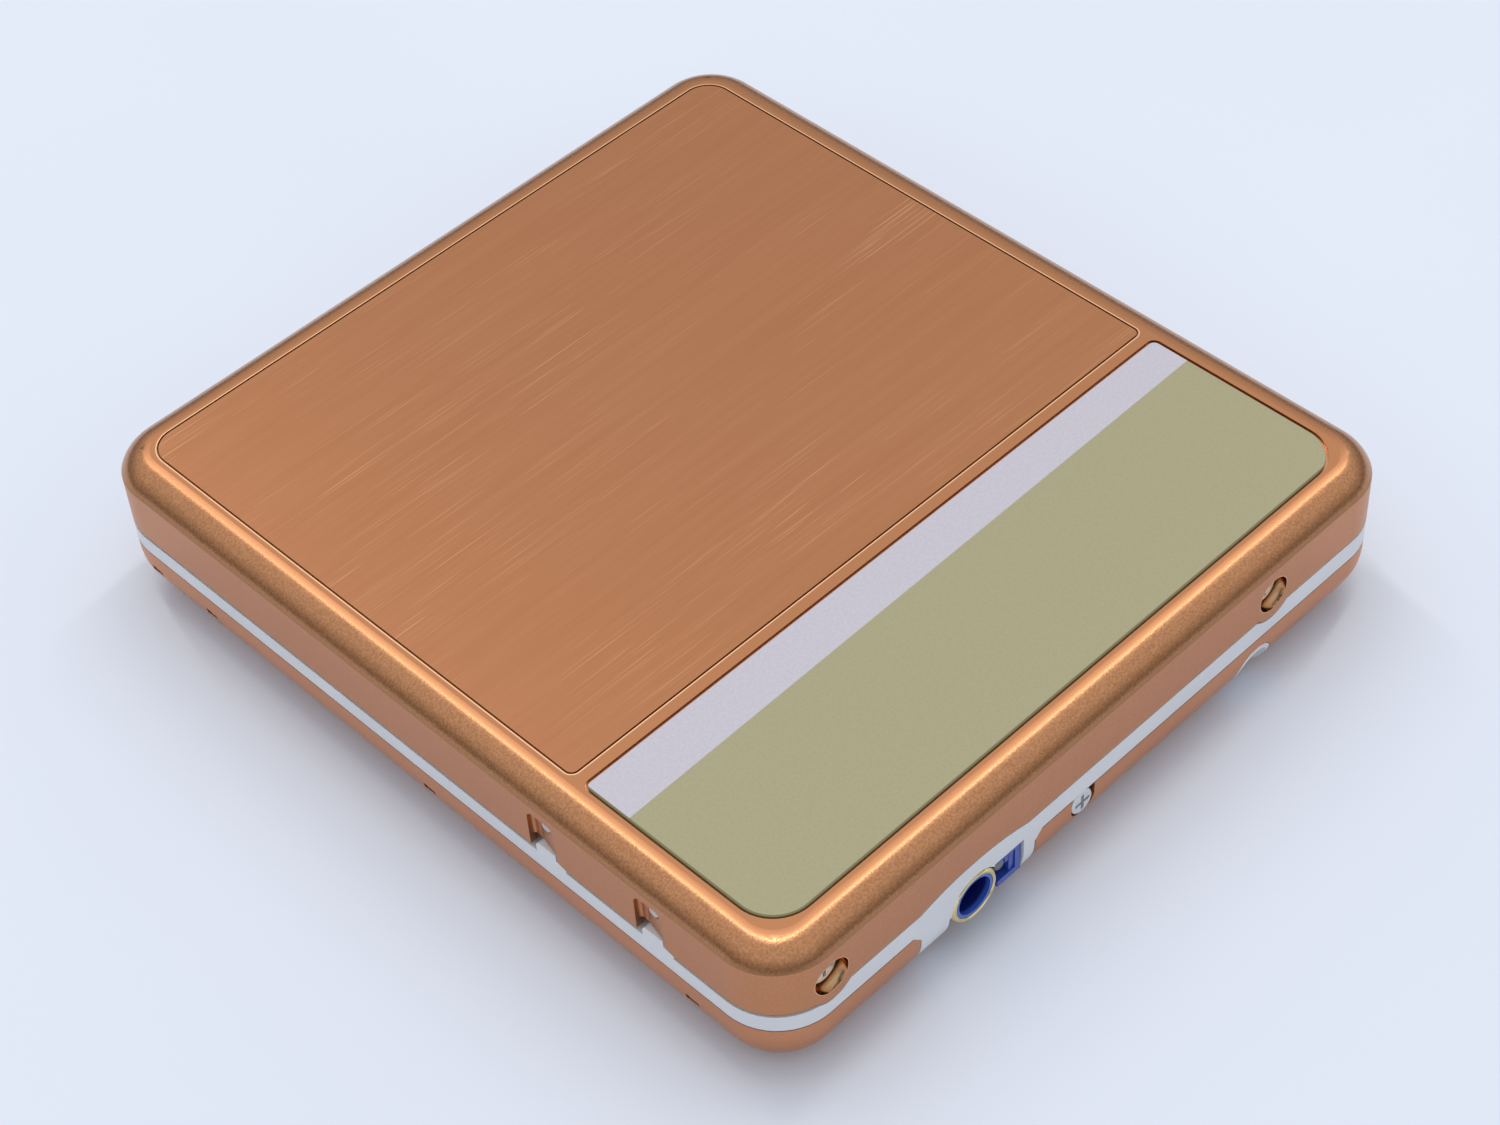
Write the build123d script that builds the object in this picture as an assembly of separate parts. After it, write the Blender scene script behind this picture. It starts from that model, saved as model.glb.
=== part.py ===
from build123d import *
import math
import os

# Portable minidisc player. Millimetres, +Z up, origin at the centre of the flat underside.
# +X is the edge that opens, -X the hinge side, +Y the socket side and -Y the key side.

# Cartridge that the player is built round
cartridge_length = 68.0
cartridge_width = 72.0
cartridge_height = 5.0
cartridge_low = 8.5
cartridge_play = 0.3

# Body
front_margin = 2.0
rear_margin = 4.4
side_margin = 5.15
body_height = 15.3
corner_radius = 5.5
rim_reach = 12.0
bottom_edge_radius = 5.3
top_edge_radius = 3.0
top_edge_run = 2.8
cover_wall = 0.7
lid_wall = 0.7
cover_top = 6.35
seam = 0.1
slip = 0.15
air = 0.3
shaft_play = 0.05
press_play = 0.01

# Parting line between the white frame and the lid
frame_top = 8.15
side_frame_top = 8.55
front_lid_gap = 0.35
side_lid_gap = 0.15
arch_top = 9.4
arch_half_width = 6.2
hinge_trim_rise = 2.5

# White frame
frame_wall = 0.9
frame_ring = 2.6
raised_wall = 0.8
ledge_width = 1.4
ledge_thickness = 0.6
spigot_wall = 0.7
spigot_depth = 1.8
post_radius = 1.8
post_end_inset = 7.7
post_side_inset = 7.65
post_battery_gap = 2.4
rib_thickness = 1.2

# Lid screws in round pockets of the skirt
pocket_front_inset = 5.85
pocket_rear_inset = 16.4
pocket_z = 10.6
pocket_radius = 1.7
pocket_depth = 1.7
pocket_wall = 0.5
dip_radius = 2.65
screw_head_radius = 1.4
screw_head_height = 0.8
screw_shank_radius = 0.7
cross_width = 0.35
cross_length = 1.7
cross_depth = 0.45

# Windows in the front of the skirt, each with a shallow scoop above it
notch_insets = (25.65, 13.65)
notch_half_width = 1.55
notch_top = 9.5
notch_ramp = 1.1
notch_tab_gap = 0.5
scoop_top = 12.6
scoop_depth = 0.6
scoop_floor = 0.08
peg_radius = 0.5
peg_shift = 0.35
peg_z = 11.85

# Brushed panel and nameplate on the lid
plate_side_inset = 3.2
plate_end_inset = 3.15
plate_length = 20.9
plate_outer_radius = 3.8
plate_inner_radius = 0.8
plate_recess = 0.35
plate_gap = 0.2
plate_drop = 0.04
panel_side_inset = 3.3
panel_end_inset = 3.2
panel_plate_gap = 1.15
panel_outer_radius = 2.6
groove_width = 0.16
groove_depth = 0.12

# Disc holder
holder_sheet = 0.35
holder_lip = 3.8
holder_window_end = 15.0
holder_window_side = 14.0
holder_window_radius = 4.0
holder_mouth_width = 28.0
holder_mouth_depth = 2.35
spring_tongue_length = 16.0
spring_tongue_width = 5.0
spring_tongue_inset = 8.0
spring_slot = 0.8
rear_stop_width = 9.0
rear_stop_inset = 9.3

# Hinge
hinge_inset = 2.4
hinge_z = 9.2
barrel_radius = 1.9
barrel_flat = 0.75
pin_radius = 0.6
knuckle_radius = 1.3
knuckle_width = 1.05
ear_radius = 1.3
boss_length = 4.4

# Lid frame
rail_height = 4.9
rail_width = 1.85
rail_top_gap = 0.2
rail_web = 0.6
rail_rib = 2.0
rail_pocket_count = 4
rail_pocket_margin = 2.5
front_bar = 0.6

# Open slider and latch
slider_inset = 11.2
slider_travel = 2.0
slider_knob_length = 6.0
latch_sheet = 0.4
latch_tail = 4.2
catch_width = 1.3
nose_height = 0.6
nose_length = 2.0
nose_low = 7.2
catch_hook = 1.1

# Keys and hold switch
key_names = ("stop", "play", "skip_back", "skip_forward", "volume_down", "volume_up")
key_first_inset = 13.7
key_gap = 1.4
key_height = 1.6
key_z = 5.55
key_travel = 0.4
key_flange = 0.4
panel_recess = 0.5
key_panel_inset = 6.2
key_panel_margin = 1.7
key_panel_radius = 1.2
panel_foot_z = 3.3
hold_slider_gap = 11.0
hold_key_gap = 7.5
hold_knob_length = 3.2
hold_travel = 1.8

# Headphone socket and remote contact
socket_offset = 14.3
socket_z = 5.0
socket_bore_radius = 1.8
socket_ring_radius = 2.6
socket_ring_bore = 2.1
socket_ring_length = 1.3
socket_ring_bevel = 0.38
socket_gap = 0.15
socket_room = 3.0
socket_barrel_half = 2.9
socket_barrel_setback = 1.9
socket_depth = 13.0
bulge_low_reach = 6.9
bulge_high_reach = 6.2
bulge_foot_z = 1.3
bulge_flare = 0.9
remote_low_reach = 5.5
remote_high_reach = 2.2
remote_top = 6.85
remote_low = 3.3
remote_depth = 5.4
remote_rim = 0.65
remote_slot_depth = 4.0
remote_pin_radius = 0.55

# Tray details
side_screw_offset = 12.7
side_screw_z = 5.1
side_screw_radius = 1.25
eyelet_rear_inset = 18.05
eyelet_width = 4.4
eyelet_top = 5.3
eyelet_rim = 0.5
snap_low_insets = (5.95, 13.55)
snap_middle_y = 1.0
snap_high_inset = 9.55
snap_width = 1.4
snap_height = 0.6
snap_z = 4.35
base_screw_radius = 1.25
base_screw_head = 0.55
deck_screw_radius = 0.5
deck_screw_head = 1.0
deck_screw_reach = 1.6

# Battery and its door
battery_end_gap = 3.7
battery_width = 17.0
battery_height = 6.0
battery_low = 1.0
battery_edge = 2.9
battery_side_gap = 4.85
door_wall = 0.9
door_top = 7.05
door_margin = 1.0
door_hinge_inset = 0.6
door_knuckle_radius = 0.55
door_knuckle_low = 4.6
door_pin_radius = 0.3
contact_sheet = 0.25
contact_seat = 1.9

# Mechanism
deck_sheet = 0.4
deck_low = 7.6
deck_corner_radius = 2.5
deck_rim = 5.0
deck_window_radius = 1.5
deck_window_gap = 4.5
spindle_radius = 0.75
stator_radius = 9.2
stator_low = 4.7
turntable_radius = 5.2
turntable_low = 8.2
turntable_sheet = 0.4
spindle_top = 9.3
locating_pin_radius = 0.9
locating_pin_side_inset = 7.0
locating_pin_end_inset = 14.0
pickup_low_side = 9.4
pickup_high_side = 7.8
pickup_length = 10.4
pickup_low = 3.1
pickup_high = 7.2
pickup_start = 15.2
pickup_end_inset = 5.2
lens_mount_width = 7.2
lens_radius = 2.0
lens_top = 8.6
guide_radius = 0.75
guide_z = 5.0
guide_low_offset = 7.6
guide_high_offset = 6.0
bracket_sheet = 0.5
bracket_gap = 0.6
screw_radius = 0.8
screw_offset = 12.4
screw_journal = 0.4
sled_motor_radius = 2.3
sled_motor_length = 8.0
slot_margin = 5.6
slot_width = 10.4

# Electronics
board_low = 1.45
board_thickness = 0.8
board_edge = 3.2
board_battery_gap = 0.8
board_corner_radius = 1.5
chip_height = 1.0
chip_places = ((-23.2, -4, 9, 9), (-25.2, 12, 7, 10), (21.8, -6, 10, 10), (22.8, 10, 6, 5),
               (19.8, 18, 4, 3), (-19.2, 25, 4, 4), (11.3, -12, 5, 3))
cable_width = 6.0
cable_sheet = 0.2

# Derived places
body_width = cartridge_length + front_margin + rear_margin
body_depth = cartridge_width + 2 * side_margin
half_width = body_width / 2
half_depth = body_depth / 2
rim_x = half_width - rim_reach
rim_y = half_depth - rim_reach
lid_low = frame_top + front_lid_gap
side_lid_low = side_frame_top + side_lid_gap
pocket_x = (pocket_rear_inset - half_width, half_width - pocket_front_inset)
step_x = max(pocket_x)
post_x = half_width - post_end_inset
post_back_y = half_depth - post_side_inset
notch_y = [half_depth - inset for inset in notch_insets]
snap_y = [inset - half_depth for inset in snap_low_insets]
snap_y += [snap_middle_y, half_depth - snap_high_inset]
plate_half_width = half_width - plate_side_inset
plate_high_y = half_depth - plate_end_inset
plate_low_y = plate_high_y - plate_length
panel_half_width = half_width - panel_side_inset
panel_low_y = panel_end_inset - half_depth
panel_high_y = plate_low_y - panel_plate_gap
arch_rise = arch_top - side_frame_top
arch_radius = (arch_half_width ** 2 + arch_rise ** 2) / (2 * arch_rise)
hinge_x = hinge_inset - half_width
cartridge_high = cartridge_low + cartridge_height
cartridge_front = half_width - front_margin
cartridge_rear = cartridge_front - cartridge_length
disc_x = cartridge_front - cartridge_length / 2
holder_inner_y = cartridge_width / 2 + cartridge_play
holder_outer_y = holder_inner_y + holder_sheet
holder_low = cartridge_low - holder_sheet
holder_roof = cartridge_high + cartridge_play / 2
holder_top = holder_roof + holder_sheet
rail_inner_y = holder_outer_y + air
rail_outer_y = rail_inner_y + rail_width
rail_top = body_height - lid_wall - rail_top_gap
rail_low = rail_top - rail_height - rail_top_gap
boss_end_y = holder_inner_y - air - slip / 2
deck_top = deck_low + deck_sheet
ledge_low = deck_low - ledge_thickness
ring_inner_x = half_width - frame_ring
ring_inner_y = half_depth - frame_ring
spigot_inset = cover_wall + seam
spigot_low = cover_top - spigot_depth
panel_floor_y = half_depth - panel_recess
panel_back_y = half_depth - spigot_inset - spigot_wall
slider_x = half_width - slider_inset
hold_x = slider_x - hold_slider_gap
key_first_x = key_first_inset - half_width
key_pitch = (hold_x - hold_key_gap - key_first_x) / (len(key_names) - 1)
key_length = key_pitch - key_gap
key_panel_low_x = key_first_x - key_length / 2 - key_panel_margin
key_panel_high_x = half_width - key_panel_inset
recess_low_z = key_z - key_height / 2 - 0.35
recess_high_z = key_z + key_height / 2 + 0.35
socket_x = disc_x + socket_offset
side_screw_x = socket_x - side_screw_offset
eyelet_x = eyelet_rear_inset - half_width
bulge_low_x = socket_x - bulge_low_reach
bulge_high_x = socket_x + bulge_high_reach
remote_low_x = socket_x - remote_low_reach
remote_high_x = socket_x - remote_high_reach
battery_half_length = half_width - battery_end_gap
battery_mid_y = battery_side_gap + battery_width / 2 - half_depth
battery_low_y = battery_mid_y - battery_width / 2
battery_high_y = battery_mid_y + battery_width / 2
post_front_y = battery_high_y + post_battery_gap
door_low_y = battery_low_y - door_margin
door_high_y = battery_high_y + door_margin
door_hinge_x = door_hinge_inset - half_width
door_hinge_y = door_high_y - door_knuckle_radius
locating_pin_x = cartridge_length / 2 - locating_pin_end_inset
locating_pin_y = cartridge_width / 2 - locating_pin_side_inset
pickup_travel = cartridge_width / 2 - pickup_end_inset - pickup_start
guide_low_x = disc_x - guide_low_offset
guide_high_x = disc_x + guide_high_offset
screw_x = disc_x - screw_offset
bracket_inner_y = stator_radius - bracket_gap
bracket_outer_y = pickup_start + pickup_travel + pickup_length / 2 + bracket_gap
motor_low_y = bracket_outer_y - sled_motor_length
board_high = board_low + board_thickness
board_low_y = battery_high_y + board_battery_gap
nut_y = pickup_start - pickup_length / 2 + 1.3
nose_high_x = slider_x + 0.2
catch_low_x = nose_high_x + slip + catch_hook
catch_high_x = catch_low_x + catch_width
latch_face_y = -ring_inner_y - 0.05
flange_front_y = 0.15 - panel_back_y
far = 60.0


def span(x_low, x_high, y_low, y_high, z_low, z_high):
    """Block between two opposite corners."""
    middle = Pos((x_low + x_high) / 2, (y_low + y_high) / 2, (z_low + z_high) / 2)
    return middle * Box(x_high - x_low, y_high - y_low, z_high - z_low)


def rod_x(radius, x_low, x_high, y, z):
    return Pos((x_low + x_high) / 2, y, z) * Rot(0, 90, 0) * Cylinder(radius, x_high - x_low)


def rod_y(radius, y_low, y_high, x, z):
    return Pos(x, (y_low + y_high) / 2, z) * Rot(90, 0, 0) * Cylinder(radius, y_high - y_low)


def rod_z(radius, z_low, z_high, x, y):
    return Pos(x, y, (z_low + z_high) / 2) * Cylinder(radius, z_high - z_low)


def across(side, near, far_end):
    """Low and high Y of a stretch given by its distances from the middle, on one side."""
    return min(side * near, side * far_end), max(side * near, side * far_end)


def along_y(outline, y_low, y_high):
    """Extrude an XZ outline between two places on Y."""
    return extrude(Plane.XZ.offset(-y_low) * outline, -(y_high - y_low))


def along_x(outline, x_low, x_high):
    """Extrude a YZ outline between two places on X."""
    return extrude(Plane.YZ.offset(x_low) * outline, x_high - x_low)


def plan_block(inset, low, high):
    """Block with the rounded plan of the body, moved in by an inset."""
    outline = RectangleRounded(body_width - 2 * inset, body_depth - 2 * inset, corner_radius - inset)
    return extrude(Plane.XY.offset(low) * outline, high - low)


def plan_ring(outer_inset, inner_inset, low, high):
    return plan_block(outer_inset, low, high) - plan_block(inner_inset, low - 1, high + 1)


def base_form(inset, top):
    """Lower half of the body as a solid, with its large rounded bottom edge."""
    form = plan_block(inset, inset, top)
    return fillet(form.faces().sort_by(Axis.Z)[0].edges(), bottom_edge_radius - inset)


def lid_form(inset, low):
    """Upper half of the body as a solid, with a rounded top edge that meets the skirt in a crease."""
    grow = top_edge_radius - top_edge_run
    dome = plan_block(inset - grow, low, body_height - inset)
    dome = fillet(dome.faces().sort_by(Axis.Z)[-1].edges(), top_edge_radius - inset)
    return dome & plan_block(inset, low - 1, body_height)


def below_parting_line(side, lift, gap, dip):
    """All that lies below the line between frame and lid, on one half of the body."""
    y_low, y_high = across(side, 0, far)
    front = span(step_x, far, y_low, y_high, -1, frame_top + lift)
    rear = span(-far, step_x, y_low, y_high, -1, side_frame_top + gap)
    block = front + rear
    if side > 0:
        block += rod_y(arch_radius + gap, half_depth - 4, far, socket_x, arch_top - arch_radius)
    for x in pocket_x:
        y_low, y_high = across(side, half_depth - 2, far)
        block -= rod_y(dip, y_low, y_high, x, pocket_z)
    return block


def cross_head(radius, height):
    """Screw head on the XY plane with a cross recess in its top."""
    head = Pos(0, 0, height / 2) * Cylinder(radius, height)
    head = fillet(head.faces().sort_by(Axis.Z)[-1].edges(), height * 0.35)
    for angle in (0, 90):
        arm = Rot(0, 0, angle) * Box(cross_length, cross_width, 2 * cross_depth)
        head -= Pos(0, 0, height) * arm
    return head


def lid_plate_outline(half, low_y, high_y, low_radius, high_radius, inset):
    """Rounded outline on the lid whose two ends have different corner radii."""
    low, high = low_y + inset, high_y - inset
    outline = Pos(0, (low + high) / 2) * Rectangle(2 * (half - inset), high - low)
    outline = fillet(outline.vertices().group_by(Axis.Y)[0], max(low_radius - inset, 0.2))
    return fillet(outline.vertices().sort_by(Axis.Y)[-2:], max(high_radius - inset, 0.2))


def nameplate_outline(inset):
    return lid_plate_outline(plate_half_width, plate_low_y, plate_high_y,
                             plate_inner_radius, plate_outer_radius, inset)


def panel_outline(inset):
    return lid_plate_outline(panel_half_width, panel_low_y, panel_high_y,
                             panel_outer_radius, plate_inner_radius, inset)


def notch_outline(y, inset):
    """Window in the front of the skirt, with its ramp, as a YZ outline."""
    left = y - notch_half_width + inset
    right = y + notch_half_width - inset
    top = notch_top - inset
    low = frame_top - 0.4
    return make_face(Polyline((left, low), (left, top), (right, top), (right, top - 0.6),
                              (right + notch_ramp, lid_low), (right + notch_ramp, low), close=True))


def notch_tab_outline(y):
    """Tab of the frame that stands in a window, short of its square end and rounded there."""
    left = y - notch_half_width + slip + notch_tab_gap
    outline = notch_outline(y, slip)
    outline -= Pos(left - 2, notch_top) * Rectangle(4, 4)
    return fillet(outline.vertices().group_by(Axis.Y)[-1].sort_by(Axis.X)[0], notch_tab_gap)


def notch_scoop(y):
    """Hollow above a window, deep at one side and running out to the face of the skirt at the other."""
    left, right = y - notch_half_width, y + notch_half_width
    floor = make_face(Polyline((half_width + 1, left), (half_width - scoop_depth, left),
                               (half_width - scoop_depth, left + 0.9), (half_width - scoop_floor, right),
                               (half_width + 1, right), close=True))
    floor = fillet(floor.vertices().sort_by(Axis.X)[:2], 0.3)
    front = Pos(y, (frame_top + scoop_top) / 2) * Rectangle(right - left, scoop_top - frame_top)
    front = fillet(front.vertices().group_by(Axis.Y)[-1], 0.8)
    return extrude(Plane.XY.offset(frame_top) * floor, far) & along_x(front, half_width - 1, half_width + 1)


def bulge_outline(grow):
    """White bulge round the sockets, as an XZ outline."""
    low_x, high_x = bulge_low_x - grow, bulge_high_x + grow
    low_z, high_z = bulge_foot_z - grow, cover_top + 1
    outline = Pos((low_x + high_x) / 2, (low_z + high_z) / 2) * Rectangle(high_x - low_x, high_z - low_z)
    corner = cover_top + grow + seam
    for x, way in ((low_x, -1), (high_x, 1)):
        outline += make_face(Polyline((x, corner - bulge_flare), (x + way * bulge_flare, corner),
                                      (x, corner), close=True))
    return outline


def key_panel_outline(grow):
    """White panel round the keys, as an XZ outline."""
    low_x, high_x = key_panel_low_x - grow, key_panel_high_x + grow
    low_z, high_z = panel_foot_z - grow, cover_top + 1
    outline = Pos((low_x + high_x) / 2, (low_z + high_z) / 2) * Rectangle(high_x - low_x, high_z - low_z)
    return fillet(outline.vertices().group_by(Axis.Y)[0], key_panel_radius + grow)


def eyelet_outline(inset):
    """Arched opening for the strap eyelet, as an XZ outline."""
    width = eyelet_width - 2 * inset
    top = eyelet_top - inset
    low = bulge_foot_z - 0.3 + inset
    arch = Pos(eyelet_x, (low + top) / 2) * Rectangle(width, top - low)
    return fillet(arch.vertices().group_by(Axis.Y)[-1], width * 0.45)


def socket_opening():
    """Opening in the bulge for the ring of the headphone socket and the remote contact."""
    y_low, y_high = half_depth - 5, half_depth + 1
    opening = rod_y(socket_ring_radius + socket_gap, y_low, y_high, socket_x, socket_z)
    opening += span(socket_x - socket_room, socket_x + socket_room, y_low, y_high, 0, socket_z)
    opening += span(remote_low_x - seam, remote_high_x, y_low, y_high, 0, remote_top + seam)
    return opening


def key_places():
    return [key_first_x + key_pitch * number for number in range(len(key_names))]


def door_region(grow):
    """Block that bounds the battery door; grown, it bounds the mouth that the door closes."""
    return span(-far, -battery_half_length - 0.5 + grow, door_low_y - grow, door_high_y + grow,
                battery_low - grow, door_top + grow)


def bottom_cover():
    """Drawn aluminium tray."""
    cover = base_form(0, cover_top) - base_form(cover_wall, cover_top + 1)
    cover -= along_y(bulge_outline(seam), rim_y, far)
    cover -= along_y(key_panel_outline(seam), -far, -rim_y)
    cover -= along_y(eyelet_outline(0), rim_y, far)
    cover -= door_region(seam)
    notch_radius = side_screw_radius + slip
    cover -= rod_y(notch_radius, rim_y, far, side_screw_x, side_screw_z)
    cover -= span(side_screw_x - notch_radius, side_screw_x + notch_radius, rim_y, far, side_screw_z, far)
    for y in snap_y:
        cover -= span(rim_x, far, y - snap_width / 2, y + snap_width / 2,
                      snap_z - snap_height / 2, snap_z + snap_height / 2)
    for x, y in post_places():
        cover -= rod_z(base_screw_radius + slip, -1, cover_wall + 1, x, y)
    return cover


def post_places():
    return [(x, y) for x in (-post_x, post_x) for y in (post_front_y, post_back_y)]


def frame_posts():
    """Screw posts of the frame with the ribs that tie them to its rim."""
    posts = []
    for x, y in post_places():
        post = rod_z(post_radius, cover_wall + slip / 2, deck_low, x, y)
        reach = half_width - spigot_inset - spigot_wall / 2
        rib_low, rib_high = min(x, math.copysign(reach, x)), max(x, math.copysign(reach, x))
        rib = span(rib_low, rib_high, y - rib_thickness / 2, y + rib_thickness / 2,
                   spigot_low + 0.4, ledge_low + 0.3)
        posts.append(post + rib)
    return posts


def hinge_barrel():
    """Rounded rear wall of the frame that covers the hinge line."""
    round_part = rod_y(barrel_radius, -boss_end_y, boss_end_y, hinge_x, hinge_z)
    foot = span(hinge_x - barrel_radius, hinge_x + barrel_radius, -boss_end_y, boss_end_y,
                deck_low, hinge_z)
    barrel = round_part + foot
    middle = boss_end_y - boss_length
    barrel -= span(hinge_x + barrel_flat, far, -middle, middle, frame_top, far)
    barrel -= span(cartridge_rear - holder_sheet - air - slip, far, -far, far, 0, far)
    return barrel


def mid_frame():
    """White moulded frame between tray and lid."""
    frame = plan_ring(0, frame_ring, cover_top + seam, frame_top)
    walls = plan_ring(0, raised_wall, frame_top - 0.5, arch_top + 0.5)
    for side in (1, -1):
        frame += walls & below_parting_line(side, 0, 0, dip_radius + side_lid_gap)
    frame += plan_ring(spigot_inset, spigot_inset + spigot_wall, spigot_low, cover_top + 0.3)
    frame += plan_ring(frame_ring - 0.1, frame_ring + ledge_width, ledge_low, deck_low)
    skin = base_form(0, cover_top + 0.5) - base_form(frame_wall, cover_top + 1)
    frame += skin & along_y(bulge_outline(0), rim_y, far)
    panel = base_form(0, cover_top + 0.5) - base_form(half_depth - panel_back_y, cover_top + 1)
    frame += panel & along_y(key_panel_outline(0), -far, -half_depth + 4)
    for post in frame_posts():
        frame += post
    frame += hinge_barrel()
    for y in snap_y:
        frame += span(half_width - spigot_inset - 0.2, half_width - 0.25, y - snap_width / 2 + slip,
                      y + snap_width / 2 - slip, snap_z - snap_height / 2 + 0.1,
                      snap_z + snap_height / 2 - 0.1)
    for y in notch_y:
        frame += along_x(notch_tab_outline(y), half_width - 0.9, half_width)
    frame += span(side_screw_x - 1.9, side_screw_x + 1.9, half_depth - frame_ring - 0.2,
                  half_depth - spigot_inset - 0.1, side_screw_z - 1.1, cover_top + 0.3)
    for side in (1, -1):
        y_low, y_high = across(side, half_depth - 2, far)
        for x in pocket_x:
            frame -= rod_y(dip_radius + side_lid_gap, y_low, y_high, x, pocket_z)
        y_low, y_high = across(side, boss_end_y, rail_outer_y + slip)
        frame -= rod_y(knuckle_radius + air, y_low, y_high, hinge_x, hinge_z)
        y_low, y_high = across(side, boss_end_y - boss_length + 0.5, boss_end_y + 1)
        frame -= rod_y(pin_radius + press_play, y_low, y_high, hinge_x, hinge_z)
    frame -= socket_opening()
    frame -= span(side_screw_x - side_screw_radius - slip, side_screw_x + side_screw_radius + slip,
                  half_depth - spigot_inset - 0.05, far, 0, cover_top + seam)
    frame -= rod_y(screw_shank_radius * 0.8, rim_y, far, side_screw_x, side_screw_z)
    frame -= along_x(Pos(-(panel_floor_y + 2), key_z) * Rectangle(4, recess_high_z - recess_low_z),
                     key_panel_low_x + 0.8, key_panel_high_x - 0.8)
    for x in key_places():
        frame -= span(x - key_length / 2 - slip, x + key_length / 2 + slip, -far, -half_depth + 3,
                      key_z - key_height / 2 - slip, key_z + key_height / 2 + slip)
    frame -= span(hold_x - 1.0, hold_x + 1.0 + hold_travel, -far, -half_depth + 3,
                  key_z - 0.5, key_z + 0.5)
    frame -= span(slider_x - slider_travel - 1.8, slider_x + 0.3, -far, -half_depth + 3,
                  key_z - 0.6, key_z + 0.6)
    frame -= latch_room()
    frame -= door_region(seam)
    barrel_room = socket_barrel_half + slip
    frame -= span(socket_x - barrel_room, socket_x + barrel_room, half_depth - 6,
                  half_depth - socket_barrel_setback + slip, board_high, deck_low)
    frame -= span(eyelet_x - eyelet_width / 2 - slip, eyelet_x + eyelet_width / 2 + slip, half_depth - 4,
                  half_depth - cover_wall, 0, eyelet_top + slip)
    for x, y in post_places():
        frame -= rod_z(screw_shank_radius, 0, 5, x, y)
        frame -= rod_z(deck_screw_radius + press_play, deck_low - deck_screw_reach - slip, far, x, y)
    frame -= rod_z(door_pin_radius + press_play, door_top - 1, door_top + 0.8, door_hinge_x, door_hinge_y)
    return frame


def latch_room():
    """Room inside the frame for the latch plate and the lid's catch."""
    return span(slider_x - latch_tail - slider_travel - air, catch_high_x + air, -panel_back_y + 0.05,
                -ring_inner_y + ledge_width + 0.2, spigot_low - 0.2, frame_top + 1)


def door_pin():
    return rod_z(door_pin_radius, door_knuckle_low - 0.2, door_top + 0.7, door_hinge_x, door_hinge_y)


def battery_door():
    """Curved end door with its knuckle about an upright pin."""
    door = base_form(0, door_top + 1) - base_form(door_wall, door_top + 2)
    door = door & door_region(0)
    door -= span(-far, far, door_hinge_y, far, 0, far)
    knuckle_high = door_top - slip
    door += rod_z(door_knuckle_radius, door_knuckle_low, knuckle_high, door_hinge_x, door_hinge_y)
    door -= rod_z(door_pin_radius + shaft_play, 0, far, door_hinge_x, door_hinge_y)
    seat_x = -half_width + contact_seat
    y = battery_mid_y
    door += span(seat_x - 0.6, seat_x, y - 4, y + 4, 2.6, 4.8)
    return door


def door_contact():
    """Bent leaf on the inside of the door that meets the end of the cell."""
    x_far = -half_width + contact_seat
    x_near = -battery_half_length - slip
    y = battery_mid_y
    path = make_face(Polyline((x_far, y - 3), (x_far + contact_sheet, y - 3), (x_near, y),
                              (x_far + contact_sheet, y + 3), (x_far, y + 3),
                              (x_near - contact_sheet, y), close=True))
    return extrude(Plane.XY.offset(2.9) * path, 1.6)


def battery():
    """Flat rechargeable cell with rounded long edges and a raised end cap."""
    outline = Pos(battery_mid_y, battery_low + battery_height / 2) * RectangleRounded(
        battery_width, battery_height, battery_edge)
    cell = along_x(outline, -battery_half_length, battery_half_length - 0.5)
    cap = Pos(battery_mid_y, battery_low + battery_height / 2) * RectangleRounded(
        battery_width * 0.45, battery_height * 0.5, battery_height * 0.2)
    return cell + along_x(cap, battery_half_length - 0.6, battery_half_length)


def battery_contact():
    """Folded leaf at the closed end of the battery space."""
    x_near = battery_half_length + slip / 2
    x_far = half_width - spigot_inset - spigot_wall - slip
    y = battery_mid_y
    leaf = Polyline((x_far, y - 4), (x_far - contact_sheet, y - 4), (x_near, y),
                    (x_far - contact_sheet, y + 4), (x_far, y + 4), (x_near + contact_sheet, y), close=True)
    plate = span(x_far, x_far + contact_sheet / 2, y - 5, y + 5, 2.8, spigot_low + 1.5)
    return extrude(Plane.XY.offset(2.8) * make_face(leaf), 2.0) + plate


def base_screws():
    """Four screws that hold the tray to the posts of the frame."""
    screws = []
    for x, y in post_places():
        head = Rot(180, 0, 0) * cross_head(base_screw_radius, base_screw_head)
        head = Pos(x, y, cover_wall) * head
        shank = rod_z(screw_shank_radius - press_play, cover_wall - 0.05, cover_wall + 3.5, x, y)
        screws.append(head + shank)
    return Compound(screws)


def side_screw():
    head = Rot(-90, 0, 0) * cross_head(side_screw_radius, 0.7)
    face_y = half_depth - spigot_inset + 0.05
    head = Pos(side_screw_x, face_y, side_screw_z) * head
    shank = rod_y(screw_shank_radius * 0.8 - press_play, face_y - 1.6, face_y + 0.1,
                  side_screw_x, side_screw_z)
    return head + shank


def strap_eyelet():
    """White insert with an arched rim and a recessed bar for the strap cord."""
    skin = base_form(0, cover_top) - base_form(cover_wall + 1.0, cover_top + 1)
    insert = skin & along_y(eyelet_outline(0.06), half_depth - 3.5, far)
    inner = base_form(0, cover_top) - base_form(cover_wall * 0.8, cover_top + 1)
    insert -= inner & along_y(eyelet_outline(eyelet_rim), rim_y, far)
    slit = Pos(eyelet_x, (eyelet_top + bulge_foot_z) / 2 + 0.3) * RectangleRounded(
        eyelet_width * 0.55, 1.0, 0.45)
    return insert - along_y(slit, rim_y, far)


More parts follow.
